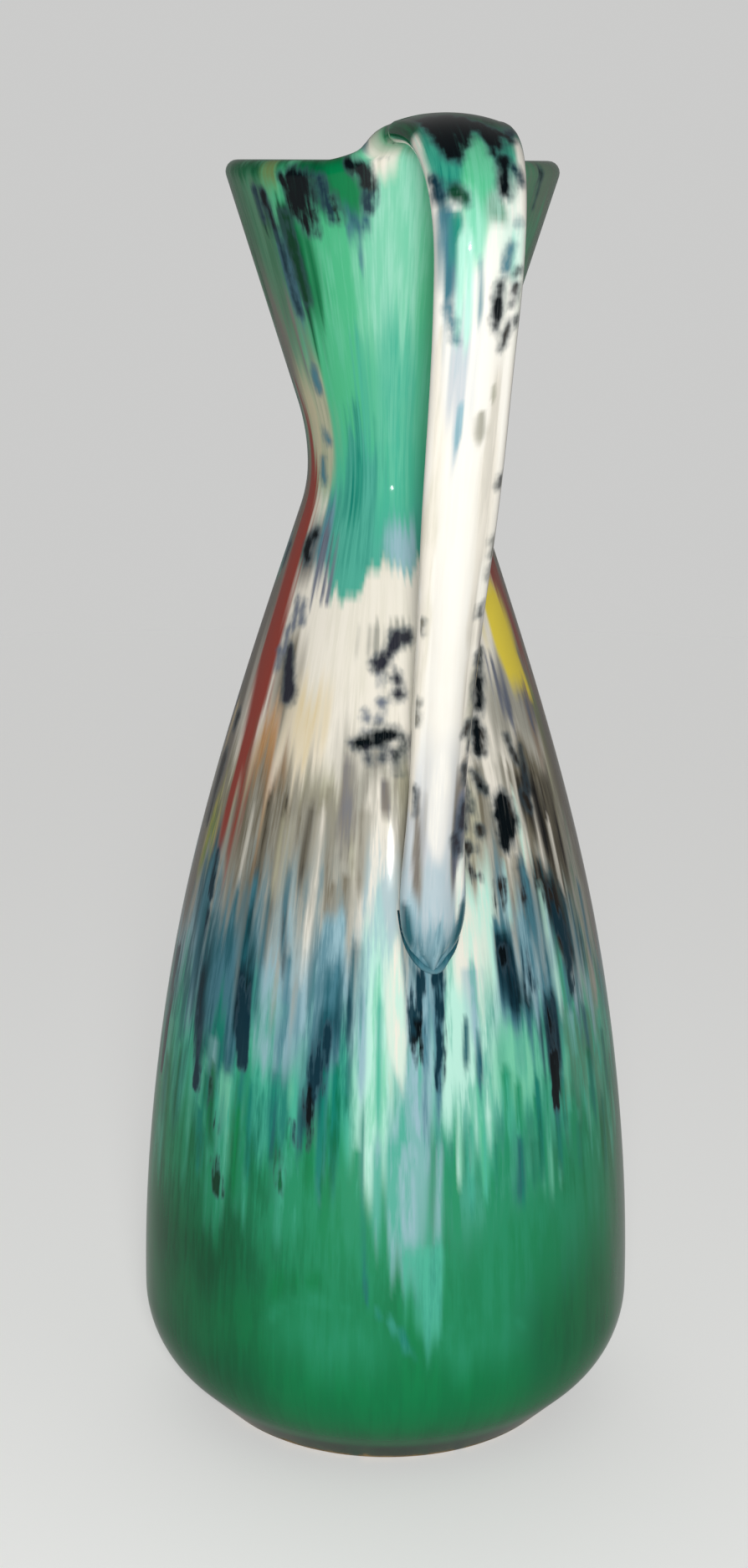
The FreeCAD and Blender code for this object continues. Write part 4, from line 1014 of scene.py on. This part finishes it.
# families of strokes drawn by chance: how many, glazes, lowest and highest start, least and most
# length, least and most half width in mm.  Runs on the side away from the handle:
FAR_RUNS = (
    (12, ("mint", "leaf"), 195, 210, 14, 34, 0.6, 1.6), (9, ("moss", "bottle"), 196, 208, 6, 20, 0.6, 1.6),
    (9, ("fern", "moss"), 196, 210, 16, 36, 0.5, 1.2), (8, ("teal", "sea"), 168, 184, 12, 24, 0.5, 1.2),
    (7, ("lagoon", "teal"), 152, 160, 6, 12, 1.2, 2.4), (8, ("slate", "mist"), 140, 156, 4, 10, 0.4, 1.0),
    (12, ("sand", "peach"), 118, 134, 8, 16, 0.5, 1.6), (22, ("taupe", "umber"), 104, 124, 10, 24, 0.5, 1.3),
    (16, ("stone", "taupe"), 104, 132, 8, 18, 0.5, 1.4), (18, ("cream", "stone"), 96, 114, 10, 22, 0.4, 1.0),
    (14, ("slate", "petrol"), 90, 106, 16, 32, 1.2, 3.2), (13, ("petrol", "navy"), 84, 100, 16, 30, 1.0, 2.6),
    (10, ("frost", "mint"), 78, 98, 22, 40, 0.8, 2.4), (8, ("mist", "lagoon"), 76, 94, 16, 36, 0.8, 2.2),
    (15, ("teal", "petrol"), 66, 82, 14, 26, 0.6, 1.6), (10, ("fern", "moss"), 60, 72, 10, 20, 0.6, 1.6),
)
# under the drips of the belly, on both sides of the handle
NEAR_RUNS = (
    (9, ("taupe", "stone"), 100, 122, 8, 20, 0.3, 0.8), (7, ("slate", "petrol"), 78, 98, 12, 26, 0.4, 1.2),
    (8, ("mist", "lagoon"), 74, 94, 12, 26, 0.4, 1.3), (13, ("sea", "mint"), 64, 84, 12, 28, 0.3, 1.1),
    (13, ("jade", "sea"), 58, 74, 12, 26, 0.4, 1.4), (13, ("teal", "moss"), 58, 76, 10, 24, 0.3, 0.9),
)
# ink on the far side, and inside the mouth
FAR_MARKS = (
    (11, ("ink",), 206.5, 210.5, 2, 8, 0.5, 1.4), (5, ("navy",), 190, 202, 4, 12, 0.3, 0.6),
    (7, ("navy",), 140, 156, 1, 3, 0.4, 0.9), (12, ("navy",), 122, 140, 1, 6, 0.3, 1.0),
    (10, ("ink",), 120, 132, 1, 3, 0.4, 1.2), (9, ("umber",), 106, 120, 4, 12, 0.6, 1.4),
    (9, ("navy",), 82, 96, 8, 18, 0.8, 1.6), (8, ("ink",), 76, 88, 8, 18, 0.8, 1.6),
)
INNER_MARKS = ((13, ("ink",), 205, 212, 2, 9, 0.4, 1.2),)
FAR_SIDE, LEFT_SIDE, RIGHT_SIDE = (92, 268), (-88, -22), (17, 74)       # azimuths
FAR_SOFTNESS, NEAR_SOFTNESS = 1.6, 2.4                                  # mm
SCATTER = 6                    # degrees by which a stroke may stand off its even place
LEAN = 0.08                    # degrees in a mm of its length by which it leans, as a spread
TAIL = 0.4                     # share of its width at its lower end


def chance_strokes(families, side, seed, softness=None):
    """Runs, or marks where there is no softness, from a seeded draw over a side of the body."""
    edge = () if softness is None else (softness,)
    chance = np.random.default_rng(seed)
    strokes = []
    for count, glazes, low, high, shortest, longest, finest, widest in families:
        for azimuth in np.linspace(*side, count) + chance.uniform(-SCATTER, SCATTER, count):
            top, long = chance.uniform(low, high), chance.uniform(shortest, longest)
            half = chance.uniform(finest, widest)
            lean = chance.normal(0, LEAN) * long
            tail = (azimuth + lean, top - long, half * TAIL)
            strokes.append((*glazes, *edge, (azimuth, top, half), tail))
    return strokes


def store_glaze(piece, coat, flow, bare=0.0):
    """Leave the coat on the mesh as point attributes, for its material to read."""
    edge = np.clip(0.5 + coat.depth / (2 * INK_REACH), 0, 1)
    for name, kind, field, values in (
        ("glaze_thin", "FLOAT_COLOR", "color", np.column_stack((coat.thin, coat.streaky))),
        ("glaze_pooled", "FLOAT_COLOR", "color", np.column_stack((coat.pooled, coat.feathery))),
        ("glaze_ink", "FLOAT_COLOR", "color", np.column_stack((coat.ink, edge))),
        ("glaze_flow", "FLOAT_VECTOR", "vector", flow),
        ("bare_clay", "FLOAT", "value", np.broadcast_to(bare, edge.shape)),
    ):
        layer = piece.data.attributes.new(name, kind, "POINT")
        layer.data.foreach_set(field, np.ascontiguousarray(values).ravel())


# ------------------------------------------------------------------- materials
HALO = "46606E"                # blue-grey that the ink bleeds into round its edge
GROG = "8F6F4A"                # dark grains in the bare clay
# noises: how far they are squeezed along the flow, scale, detail and roughness
STREAKS = (0.1, 520, 4, 0.6)
HAIRS = (0.05, 1900, 3, 0.65)
CLOUDS = (0.6, 160, 2, 0.5)
GRAINS = (0.75, 620, 2, 0.5)
FEATHERS = (0.09, 820, 3, 0.6)
RIPPLES = (0.7, 90, 2, 0.5)
SPECKLES = (1, 900, 3, 0.7)


class Recipe:
    """The node tree of a material or a world, written one node a line."""

    def __init__(self, block, shader):
        block.use_nodes = True
        self.tree = block.node_tree
        self.shader = self.tree.nodes[shader]

    def node(self, kind, inputs, **settings):
        node = self.tree.nodes.new(kind)
        for setting, value in settings.items():
            setattr(node, setting, value)
        self.fill(node, inputs)
        return node

    def fill(self, node, inputs):
        for socket, value in inputs.items():
            if isinstance(value, bpy.types.NodeSocket):
                self.tree.links.new(value, node.inputs[socket])
            else:
                node.inputs[socket].default_value = value

    def attribute(self, name, output="Color"):
        return self.node("ShaderNodeAttribute", {}, attribute_name=name).outputs[output]

    def noise(self, vector, squeeze, scale, detail, roughness):
        spread = self.node("ShaderNodeMapping", {"Vector": vector, "Scale": (1, 1, squeeze)})
        return self.node("ShaderNodeTexNoise", {
            "Vector": spread.outputs["Vector"], "Scale": scale, "Detail": detail, "Roughness": roughness,
        }).outputs["Fac"]

    def range(self, value, low, high, to_low=0.0, to_high=1.0):
        return self.node("ShaderNodeMapRange", {
            "Value": value, "From Min": low, "From Max": high, "To Min": to_low, "To Max": to_high,
        }, interpolation_type="SMOOTHSTEP").outputs["Result"]

    def reckoned(self, operation, first, second):
        return self.node("ShaderNodeMath", {0: first, 1: second}, operation=operation).outputs[0]

    def sum(self, first, second):
        return self.reckoned("ADD", first, second)

    def product(self, first, second):
        return self.reckoned("MULTIPLY", first, second)

    def swing(self, noise, weight):
        """A noise made to swing about zero, with a weight."""
        return self.product(self.reckoned("SUBTRACT", noise, 0.5), weight)

    def mixed(self, share, first, second):
        return self.node("ShaderNodeMix", {0: share, 6: first, 7: second}, data_type="RGBA").outputs[2]


def drip_glaze():
    """Gloss glaze: thin and pooled colours in streaks, ink with ragged haloed edges, bare clay below."""
    name = "drip_glaze"
    if name in bpy.data.materials:
        return bpy.data.materials[name]
    material = bpy.data.materials.new(name)
    recipe = Recipe(material, "Principled BSDF")
    flow = recipe.attribute("glaze_flow", "Vector")
    edge = recipe.attribute("glaze_ink", "Alpha")
    bare = recipe.attribute("bare_clay", "Fac")
    streaks = recipe.noise(flow, *STREAKS)
    hairs = recipe.noise(flow, *HAIRS)
    clouds = recipe.noise(flow, *CLOUDS)
    pooling = recipe.sum(streaks, recipe.swing(hairs, 0.6))
    pooling = recipe.sum(pooling, recipe.swing(clouds, 0.3))
    share = recipe.product(recipe.range(pooling, 0.36, 0.66), recipe.attribute("glaze_thin", "Alpha"))
    glaze = recipe.mixed(share, recipe.attribute("glaze_thin"), recipe.attribute("glaze_pooled"))
    # ink: its edge is broken up by grain, and where it is feathery it is drawn out downwards
    grains = recipe.noise(flow, *GRAINS)
    feathers = recipe.noise(flow, *FEATHERS)
    feathers = recipe.product(
        recipe.range(feathers, 0.3, 0.7, -0.4, 0.34), recipe.attribute("glaze_pooled", "Alpha"),
    )
    ragged = recipe.sum(feathers, recipe.range(grains, 0.25, 0.75, -0.08, 0.08))
    edge = recipe.sum(edge, recipe.product(ragged, recipe.range(edge, 0.04, 0.3)))
    halo = recipe.mixed(0.5, recipe.attribute("glaze_ink"), (*linear(HALO), 1))
    glaze = recipe.mixed(recipe.range(edge, 0.16, 0.52, 0, 0.7), glaze, halo)
    core = recipe.product(recipe.range(edge, 0.38, 0.62), recipe.range(hairs, 0.28, 0.5, 0.88, 1))
    glaze = recipe.mixed(core, glaze, recipe.attribute("glaze_ink"))
    # bare clay, speckled
    place = recipe.node("ShaderNodeTexCoord", {}).outputs["Object"]
    grog = recipe.range(recipe.noise(place, *SPECKLES), 0.4, 0.7)
    clay = recipe.mixed(grog, (*bpy.context.scene.vase_glazes.clay, 1), (*linear(GROG), 1))
    skin = recipe.mixed(bare, glaze, clay)
    # gloss, a little uneven
    ripples = recipe.noise(flow, *RIPPLES)
    gloss = recipe.range(ripples, 0.3, 0.7, 0.06, 0.11)
    rough = recipe.node("ShaderNodeMix", {0: bare, 2: gloss, 3: 0.85}).outputs[0]
    bump = recipe.node("ShaderNodeBump", {"Strength": 0.25, "Distance": 0.3 * MM, "Height": ripples})
    recipe.fill(recipe.shader, {
        "Base Color": skin, "Roughness": rough, "Normal": bump.outputs["Normal"], "IOR": 1.45,
        "Specular IOR Level": 0.42,
    })
    return material


# ------------------------------------------------------------- pieces and their glaze
AROUND = 300                   # columns of the turned body
CROWDING = 0.5                 # share by which they stand closer on the handle's side


def spin_body(outline):
    """The body as a full turn of its profile, with its lip still level."""
    profile = body_profile(outline)
    mesh = bpy.data.meshes.new("glazed_body")
    mesh.from_pydata([(0.0, -r, z) for r, z in profile], [(i, i + 1) for i in range(len(profile) - 1)], ())
    body = bpy.data.objects.new("glazed_body", mesh)
    bpy.context.scene.collection.objects.link(body)
    activate(body)
    bpy.ops.object.mode_set(mode="EDIT")
    bpy.ops.mesh.select_all(action="SELECT")
    bpy.ops.mesh.spin(steps=AROUND, angle=2 * math.pi, center=(0, 0, 0), axis=(0, 0, 1))
    bpy.ops.mesh.select_all(action="SELECT")
    bpy.ops.mesh.remove_doubles(threshold=0.01 * MM)
    bpy.ops.object.mode_set(mode="OBJECT")
    points = coordinates(body)
    azimuth, radius = round_axis(points)
    azimuth -= CROWDING * np.sin(azimuth)
    place(body, on_ring(azimuth, radius, points[:, 2]))
    return body


BARE_HEIGHT = 1.0              # mm up to which the outside of the foot is bare
BARE_SOFTNESS = 0.5            # mm in which the glaze begins
BARE_WAVER = 0.25              # mm by which its edge goes up and down


def bare_foot(azimuth, tall, foot_radius, turned, radius):
    """1 where the foot is bare clay: its ring, the hollow within and the lowest edge outside."""
    waver = BARE_WAVER * MM * wander(azimuth, tall, seed=8, finest=70, tallest=9)
    bare = ease((BARE_HEIGHT * MM + waver - turned[:, 2]) / (BARE_SOFTNESS * MM))
    bare[(radius < foot_radius - FOOT_CHAMFER * MM) & (turned[:, 2] < 2 * BARE_HEIGHT * MM)] = 1.0
    return bare


def strap_coat(across, along, *unevenness):
    """The strap's coat at places across it and along it from the joint, in mm."""
    coat = Coat(across, along, np.ones(len(along)), *unevenness)
    coat.glaze(STRAP_COATS, STRAP_PATCHES, STRAP_RUNS, STRAP_MARKS)
    coat.feathery += STRAP_FEATHERING
    return coat


def glaze_body(body, outline, tongue, turned, pulled, across, run):
    """Glaze the body: turned are its places before the lip was pulled, pulled tells which moved."""
    azimuth, radius = round_axis(turned)
    azimuth[pulled] = np.arcsin(across / tongue.ring(run))
    tall = np.where(pulled, coordinates(body)[:, 2], turned[:, 2]) / MM
    lively = np.interp(tall, *np.array(LIVELINESS).T)
    broad = wander(azimuth, tall, seed=3, finest=42, tallest=30)
    sway = lively * (broad + 0.6 * wander(azimuth, tall, seed=4, finest=120, tallest=30))
    stray = 0.5 * wander(azimuth, tall, seed=5, finest=60, tallest=8)
    fray = wander(azimuth, tall, seed=7, finest=140, tallest=16)
    degree = np.maximum(radius / MM, 1.0) * math.radians(1)
    places = (np.degrees(azimuth), tall, degree, sway, stray, fray)
    coat = Coat(*places)
    coat.glaze(
        BODY_COATS, BODY_PATCHES,
        (
            *chance_strokes(NEAR_RUNS, LEFT_SIDE, seed=14, softness=NEAR_SOFTNESS),
            *chance_strokes(NEAR_RUNS, RIGHT_SIDE, seed=15, softness=NEAR_SOFTNESS),
            *BODY_RUNS,
            *chance_strokes(FAR_RUNS, FAR_SIDE, seed=11, softness=FAR_SOFTNESS),
        ),
        (*BODY_MARKS, *chance_strokes(FAR_MARKS, FAR_SIDE, seed=12)),
    )
    coat.feathery = np.interp(tall, *np.array(FEATHERING).T)
    # inside the mouth: green glaze, darker deeper down as painted shade in the hollow
    inner = Coat(*places)
    inner.glaze(INNER_GLAZE_AND_SHADE, (), (), chance_strokes(INNER_MARKS, FAR_SIDE, seed=13))
    skin = np.interp(turned[:, 2], *outline.wall(0.0, OUTER_ROWS).T[::-1])
    depth_in_wall = (skin - radius) / outline.sizes.wall
    blend_coats(coat, inner, ease(depth_in_wall * 2 - 0.5))
    # over the tongue's bend the strap's glaze takes over
    beside, beyond, over = np.zeros((3, len(tall)))
    beside[pulled] = across / MM
    beyond[pulled] = (run - tongue.joint_run) / MM
    over[pulled] = tongue.over(run)
    blend_coats(coat, strap_coat(beside, beyond), over)
    climb = turned[:, 2].copy()
    climb[pulled] = tongue.root[1] + run
    bare = bare_foot(azimuth, tall, outline.sizes.foot_radius, turned, radius)
    store_glaze(body, coat, on_ring(azimuth, FLOW_RADIUS * MM, climb), bare)
    body.data.materials.append(drip_glaze())


STRAP_TURN = 8.0               # mm across the strap to a radian of its noise
BACK_DEPTH = 3.0               # mm by which the marks keep off the strap's back


def glaze_strap(piece, tongue, across, run, face_out):
    """Glaze a length of the strap: across and run in metres, face_out tells its face from its back."""
    turn, along = across / MM / STRAP_TURN, run / MM
    sway = 0.6 * wander(turn, along, seed=21, finest=12, tallest=9)
    stray = 0.25 * wander(turn, along, seed=22, finest=14, tallest=5)
    fray = wander(turn, along, seed=23, finest=40, tallest=8)
    coat = strap_coat(across / MM, along, sway, stray, fray)
    coat.depth[face_out < 0] -= BACK_DEPTH
    flow = np.column_stack((
        across * FLOW_RADIUS / JOINT_RADIUS, face_out - FLOW_RADIUS * MM,
        tongue.root[1] + tongue.joint_run + run,
    ))
    store_glaze(piece, coat, flow)
    piece.data.materials.append(drip_glaze())


def glaze_bead(bead):
    """Glaze the bead by its height, dark beside the toe as pooled glaze and painted shade in the crease
    there.
    """
    points = coordinates(bead)
    azimuth, radius = round_axis(points)
    coat = Coat(np.degrees(azimuth), points[:, 2] / MM, radius)
    coat.base(BEAD_GLAZE_AND_SHADE)
    store_glaze(bead, coat, on_ring(azimuth, FLOW_RADIUS * MM, points[:, 2]))
    bead.data.materials.append(drip_glaze())


def extruded(name, rings):
    """A closed piece drawn out along rings of points, from a circle of as many."""
    deselect_all()
    bpy.ops.mesh.primitive_circle_add(vertices=len(rings[0]), radius=5 * MM, enter_editmode=True)
    for _ in rings[1:]:
        bpy.ops.mesh.extrude_region_move(TRANSFORM_OT_translate={"value": (0, 0, 1 * MM)})
    bpy.ops.object.mode_set(mode="OBJECT")
    piece = bpy.context.object
    piece.name = name
    piece.data.name = name
    place(piece, np.concatenate(rings))
    bpy.ops.object.mode_set(mode="EDIT")
    bpy.ops.mesh.select_all(action="DESELECT")
    bpy.ops.mesh.select_mode(type="EDGE")
    bpy.ops.mesh.select_non_manifold()
    bpy.ops.mesh.edge_face_add()
    bpy.ops.object.mode_set(mode="OBJECT")
    finish_surface(piece)
    return piece


class VASE_OT_throw_body(bpy.types.Operator):
    """Turn the wall about its axis, pull the lip out into the tongue and glaze it"""

    bl_idname = "vase.throw_body"
    bl_label = "Throw Body"

    def execute(self, context):
        outline = Outline(context.scene.vase_sizes)
        tongue = Tongue(outline)
        body = spin_body(outline)
        turned = coordinates(body)
        azimuth, radius = round_axis(turned)
        from_lip = np.column_stack((radius, turned[:, 2])) - outline.lip
        up = from_lip @ outline.along
        out = from_lip @ outline.across
        above_root = up > -outline.root_depth() + 0.001 * MM
        in_wall = np.abs(out) < context.scene.vase_sizes.wall
        pulled = above_root & in_wall & (np.abs(azimuth) < tongue.reach)
        points = turned.copy()
        points[pulled], across, run = tongue.pull(azimuth[pulled], up[pulled], out[pulled])
        place(body, points)
        finish_surface(body)
        glaze_body(body, outline, tongue, turned, pulled, across, run)
        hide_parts("vase_body")
        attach(body, "root")
        return {"FINISHED"}


class VASE_OT_pull_strap(bpy.types.Operator):
    """Draw the strap out along its line, from the joint to the rounded toe, and glaze it"""

    bl_idname = "vase.pull_strap"
    bl_label = "Pull Strap"

    def execute(self, context):
        outline = Outline(context.scene.vase_sizes)
        rings, run, route = strap_rings(outline)
        strap = extruded("glazed_strap", rings)
        face_out = np.concatenate([section(width, thick, crown)[:, 1] for _, _, width, thick, crown in route])
        glaze_strap(strap, Tongue(outline), rings[..., 0].ravel(), np.repeat(run, SECTION_POINTS), face_out)
        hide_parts("strap_handle")
        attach(strap, "root")
        return {"FINISHED"}


SEAM_RINGS = 3


class VASE_OT_join_with_slip(bpy.types.Operator):
    """Stick the strap on: a layer of slip under the glaze above, and a bead round the toe below"""

    bl_idname = "vase.join_with_slip"
    bl_label = "Join with Slip"

    def execute(self, context):
        sizes = context.scene.vase_sizes
        outline = Outline(sizes)
        tongue = Tongue(outline)
        outlined = section(sizes.tongue_width, sizes.tongue_thickness, STRAP_CROWN * MM)
        steps = np.linspace(0, sizes.seam, SEAM_RINGS)
        across, face = np.tile(outlined, (SEAM_RINGS, 1)).T
        step = np.repeat(steps, SECTION_POINTS)
        points = np.column_stack((across, -tongue.joint_reach - step, tongue.top + face))
        seam = extruded("seam_of_slip", np.split(points, SEAM_RINGS))
        glaze_strap(seam, tongue, across, step - sizes.seam, face)
        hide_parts("upper_slip_joint")
        bead = extruded("bead_of_slip", bead_rings(outline))
        glaze_bead(bead)
        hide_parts("lower_slip_joint")
        for piece in (seam, bead):
            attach(piece, "root")
        return {"FINISHED"}


# ------------------------------------------------------------------- the stage
FLOOR_RADIUS, FLOOR_SIDES = 2.5, 96
FLOOR_FADES = (0.3, 1.0)       # distances between which the floor gives way to the room
PAPER = (0.55, 0.55, 0.54, 1)
WHITE = (1, 1, 0.99, 1)
CAMERA_DISTANCE, CAMERA_HEIGHT = 0.4, 0.21416
CAMERA_SIDE = 11.7             # degrees round the vase from the handle, towards -X
CAMERA_PITCH, CAMERA_YAW, CAMERA_ROLL = 14.5638, 0.354, 0.288      # degrees
SENSOR, LENS = 36.0, 55.65
# lamps: width across, power and whether the gloss shows them; both stand by the camera
LAMPS = ((0.06, 1.12, False), (0.018, 0.17, True))
LAMP_PLACE = (-0.072, -0.40, 0.20)
ROOM_LIGHT = 0.28              # of the white room before and beside the vase
ROOM_REAR = 1.2                # and straight behind it, for the far side
ROOM_SHOWN = 0.60              # grey of that room where it is seen
ROOM_BEFORE = 0.05             # what the gloss shows of the room before the vase
ROOM_BEHIND = 0.17             # and of the room behind it
FLOOR_SHOWN = 0.36             # light added to the floor where it is seen, to match the room


def paper():
    """Pale floor that fades into the room further out."""
    material = bpy.data.materials.new("paper")
    recipe = Recipe(material, "Principled BSDF")
    place = recipe.node("ShaderNodeTexCoord", {}).outputs["Object"]
    away = recipe.node("ShaderNodeVectorMath", {0: place}, operation="LENGTH").outputs["Value"]
    seen = recipe.node("ShaderNodeLightPath", {}).outputs["Is Camera Ray"]
    recipe.fill(recipe.shader, {
        "Base Color": PAPER, "Roughness": 0.9, "Alpha": recipe.range(away, *FLOOR_FADES, 1, 0),
        "Emission Color": WHITE, "Emission Strength": recipe.product(seen, FLOOR_SHOWN),
    })
    return material


def white_room():
    """A plain pale room, brightest behind the vase both as light and in its gloss."""
    world = bpy.data.worlds.new("white_room")
    recipe = Recipe(world, "Background")
    path = recipe.node("ShaderNodeLightPath", {})
    place = recipe.node("ShaderNodeTexCoord", {}).outputs["Generated"]
    rearward = recipe.node("ShaderNodeSeparateXYZ", {0: place}).outputs["Y"]
    mirrored = recipe.range(rearward, -0.4, 0.8, ROOM_BEFORE, ROOM_BEHIND)
    lit = recipe.range(rearward, 0.5, 0.8, ROOM_LIGHT, ROOM_REAR)
    light = recipe.node("ShaderNodeMix", {0: path.outputs["Is Glossy Ray"], 2: lit, 3: mirrored})
    shown = recipe.node(
        "ShaderNodeMix", {0: path.outputs["Is Camera Ray"], 2: light.outputs[0], 3: ROOM_SHOWN},
    )
    recipe.fill(recipe.shader, {"Color": WHITE, "Strength": shown.outputs[0]})
    return world


def add_camera():
    """The camera, on the handle's side and as high as the lip, looking slightly down."""
    data = bpy.data.cameras.new("camera")
    camera = bpy.data.objects.new("camera", data)
    bpy.context.scene.collection.objects.link(camera)
    data.sensor_width = SENSOR
    data.lens = LENS
    side = math.radians(CAMERA_SIDE)
    camera.location = (-CAMERA_DISTANCE * math.sin(side), -CAMERA_DISTANCE * math.cos(side), CAMERA_HEIGHT)
    camera.rotation_euler = (
        Matrix.Rotation(math.radians(CAMERA_YAW) - side, 3, "Z")
        @ Matrix.Rotation(math.radians(90 - CAMERA_PITCH), 3, "X")
        @ Matrix.Rotation(math.radians(CAMERA_ROLL), 3, "Z")
    ).to_euler()
    return camera


class VASE_OT_set_stage(bpy.types.Operator):
    """Stand the vase on a pale floor in a white room, with soft light, and place the camera"""

    bl_idname = "vase.set_stage"
    bl_label = "Set Stage"

    def execute(self, context):
        scene = context.scene
        deselect_all()
        bpy.ops.mesh.primitive_circle_add(vertices=FLOOR_SIDES, radius=FLOOR_RADIUS, fill_type="NGON")
        floor = context.object
        floor.name = "floor"
        floor.data.materials.append(paper())
        scene.camera = add_camera()
        for size, energy, glossy in LAMPS:
            bpy.ops.object.light_add(type="AREA", location=LAMP_PLACE)
            lamp = context.object
            lamp.data.shape = "DISK"
            lamp.data.size = size
            lamp.data.energy = energy
            lamp.visible_glossy = glossy
            ahead = Vector((0, 0, VASE_HEIGHT / 2)) - Vector(LAMP_PLACE)
            lamp.rotation_euler = ahead.to_track_quat("-Z", "Y").to_euler()
        scene.world = white_room()
        scene.view_settings.view_transform = "Standard"
        return {"FINISHED"}


class VIEW3D_PT_vase(bpy.types.Panel):
    """Sizes, glazes and steps of the vase"""

    bl_label = "Bud Vase"
    bl_space_type = "VIEW_3D"
    bl_region_type = "UI"
    bl_category = "Bud Vase"

    def draw(self, context):
        column = self.layout.column(align=True)
        for group in (context.scene.vase_sizes, context.scene.vase_glazes):
            for name in type(group).__annotations__:
                column.prop(group, name)
        for step in STEPS:
            column.operator(step.bl_idname)


STEPS = (VASE_OT_throw_body, VASE_OT_pull_strap, VASE_OT_join_with_slip, VASE_OT_set_stage)
GROUPS = (("vase_sizes", VaseSizes), ("vase_glazes", VaseGlazes))


def register():
    for name, group in GROUPS:
        bpy.utils.register_class(group)
        setattr(bpy.types.Scene, name, PointerProperty(type=group))
    for entry in (*STEPS, VIEW3D_PT_vase):
        bpy.utils.register_class(entry)


def unregister():
    for entry in (VIEW3D_PT_vase, *reversed(STEPS)):
        bpy.utils.unregister_class(entry)
    for name, group in reversed(GROUPS):
        delattr(bpy.types.Scene, name)
        bpy.utils.unregister_class(group)


def main():
    register()
    for step in STEPS:
        space, name = step.bl_idname.split(".")
        getattr(getattr(bpy.ops, space), name)()


if __name__ == "__main__":
    main()
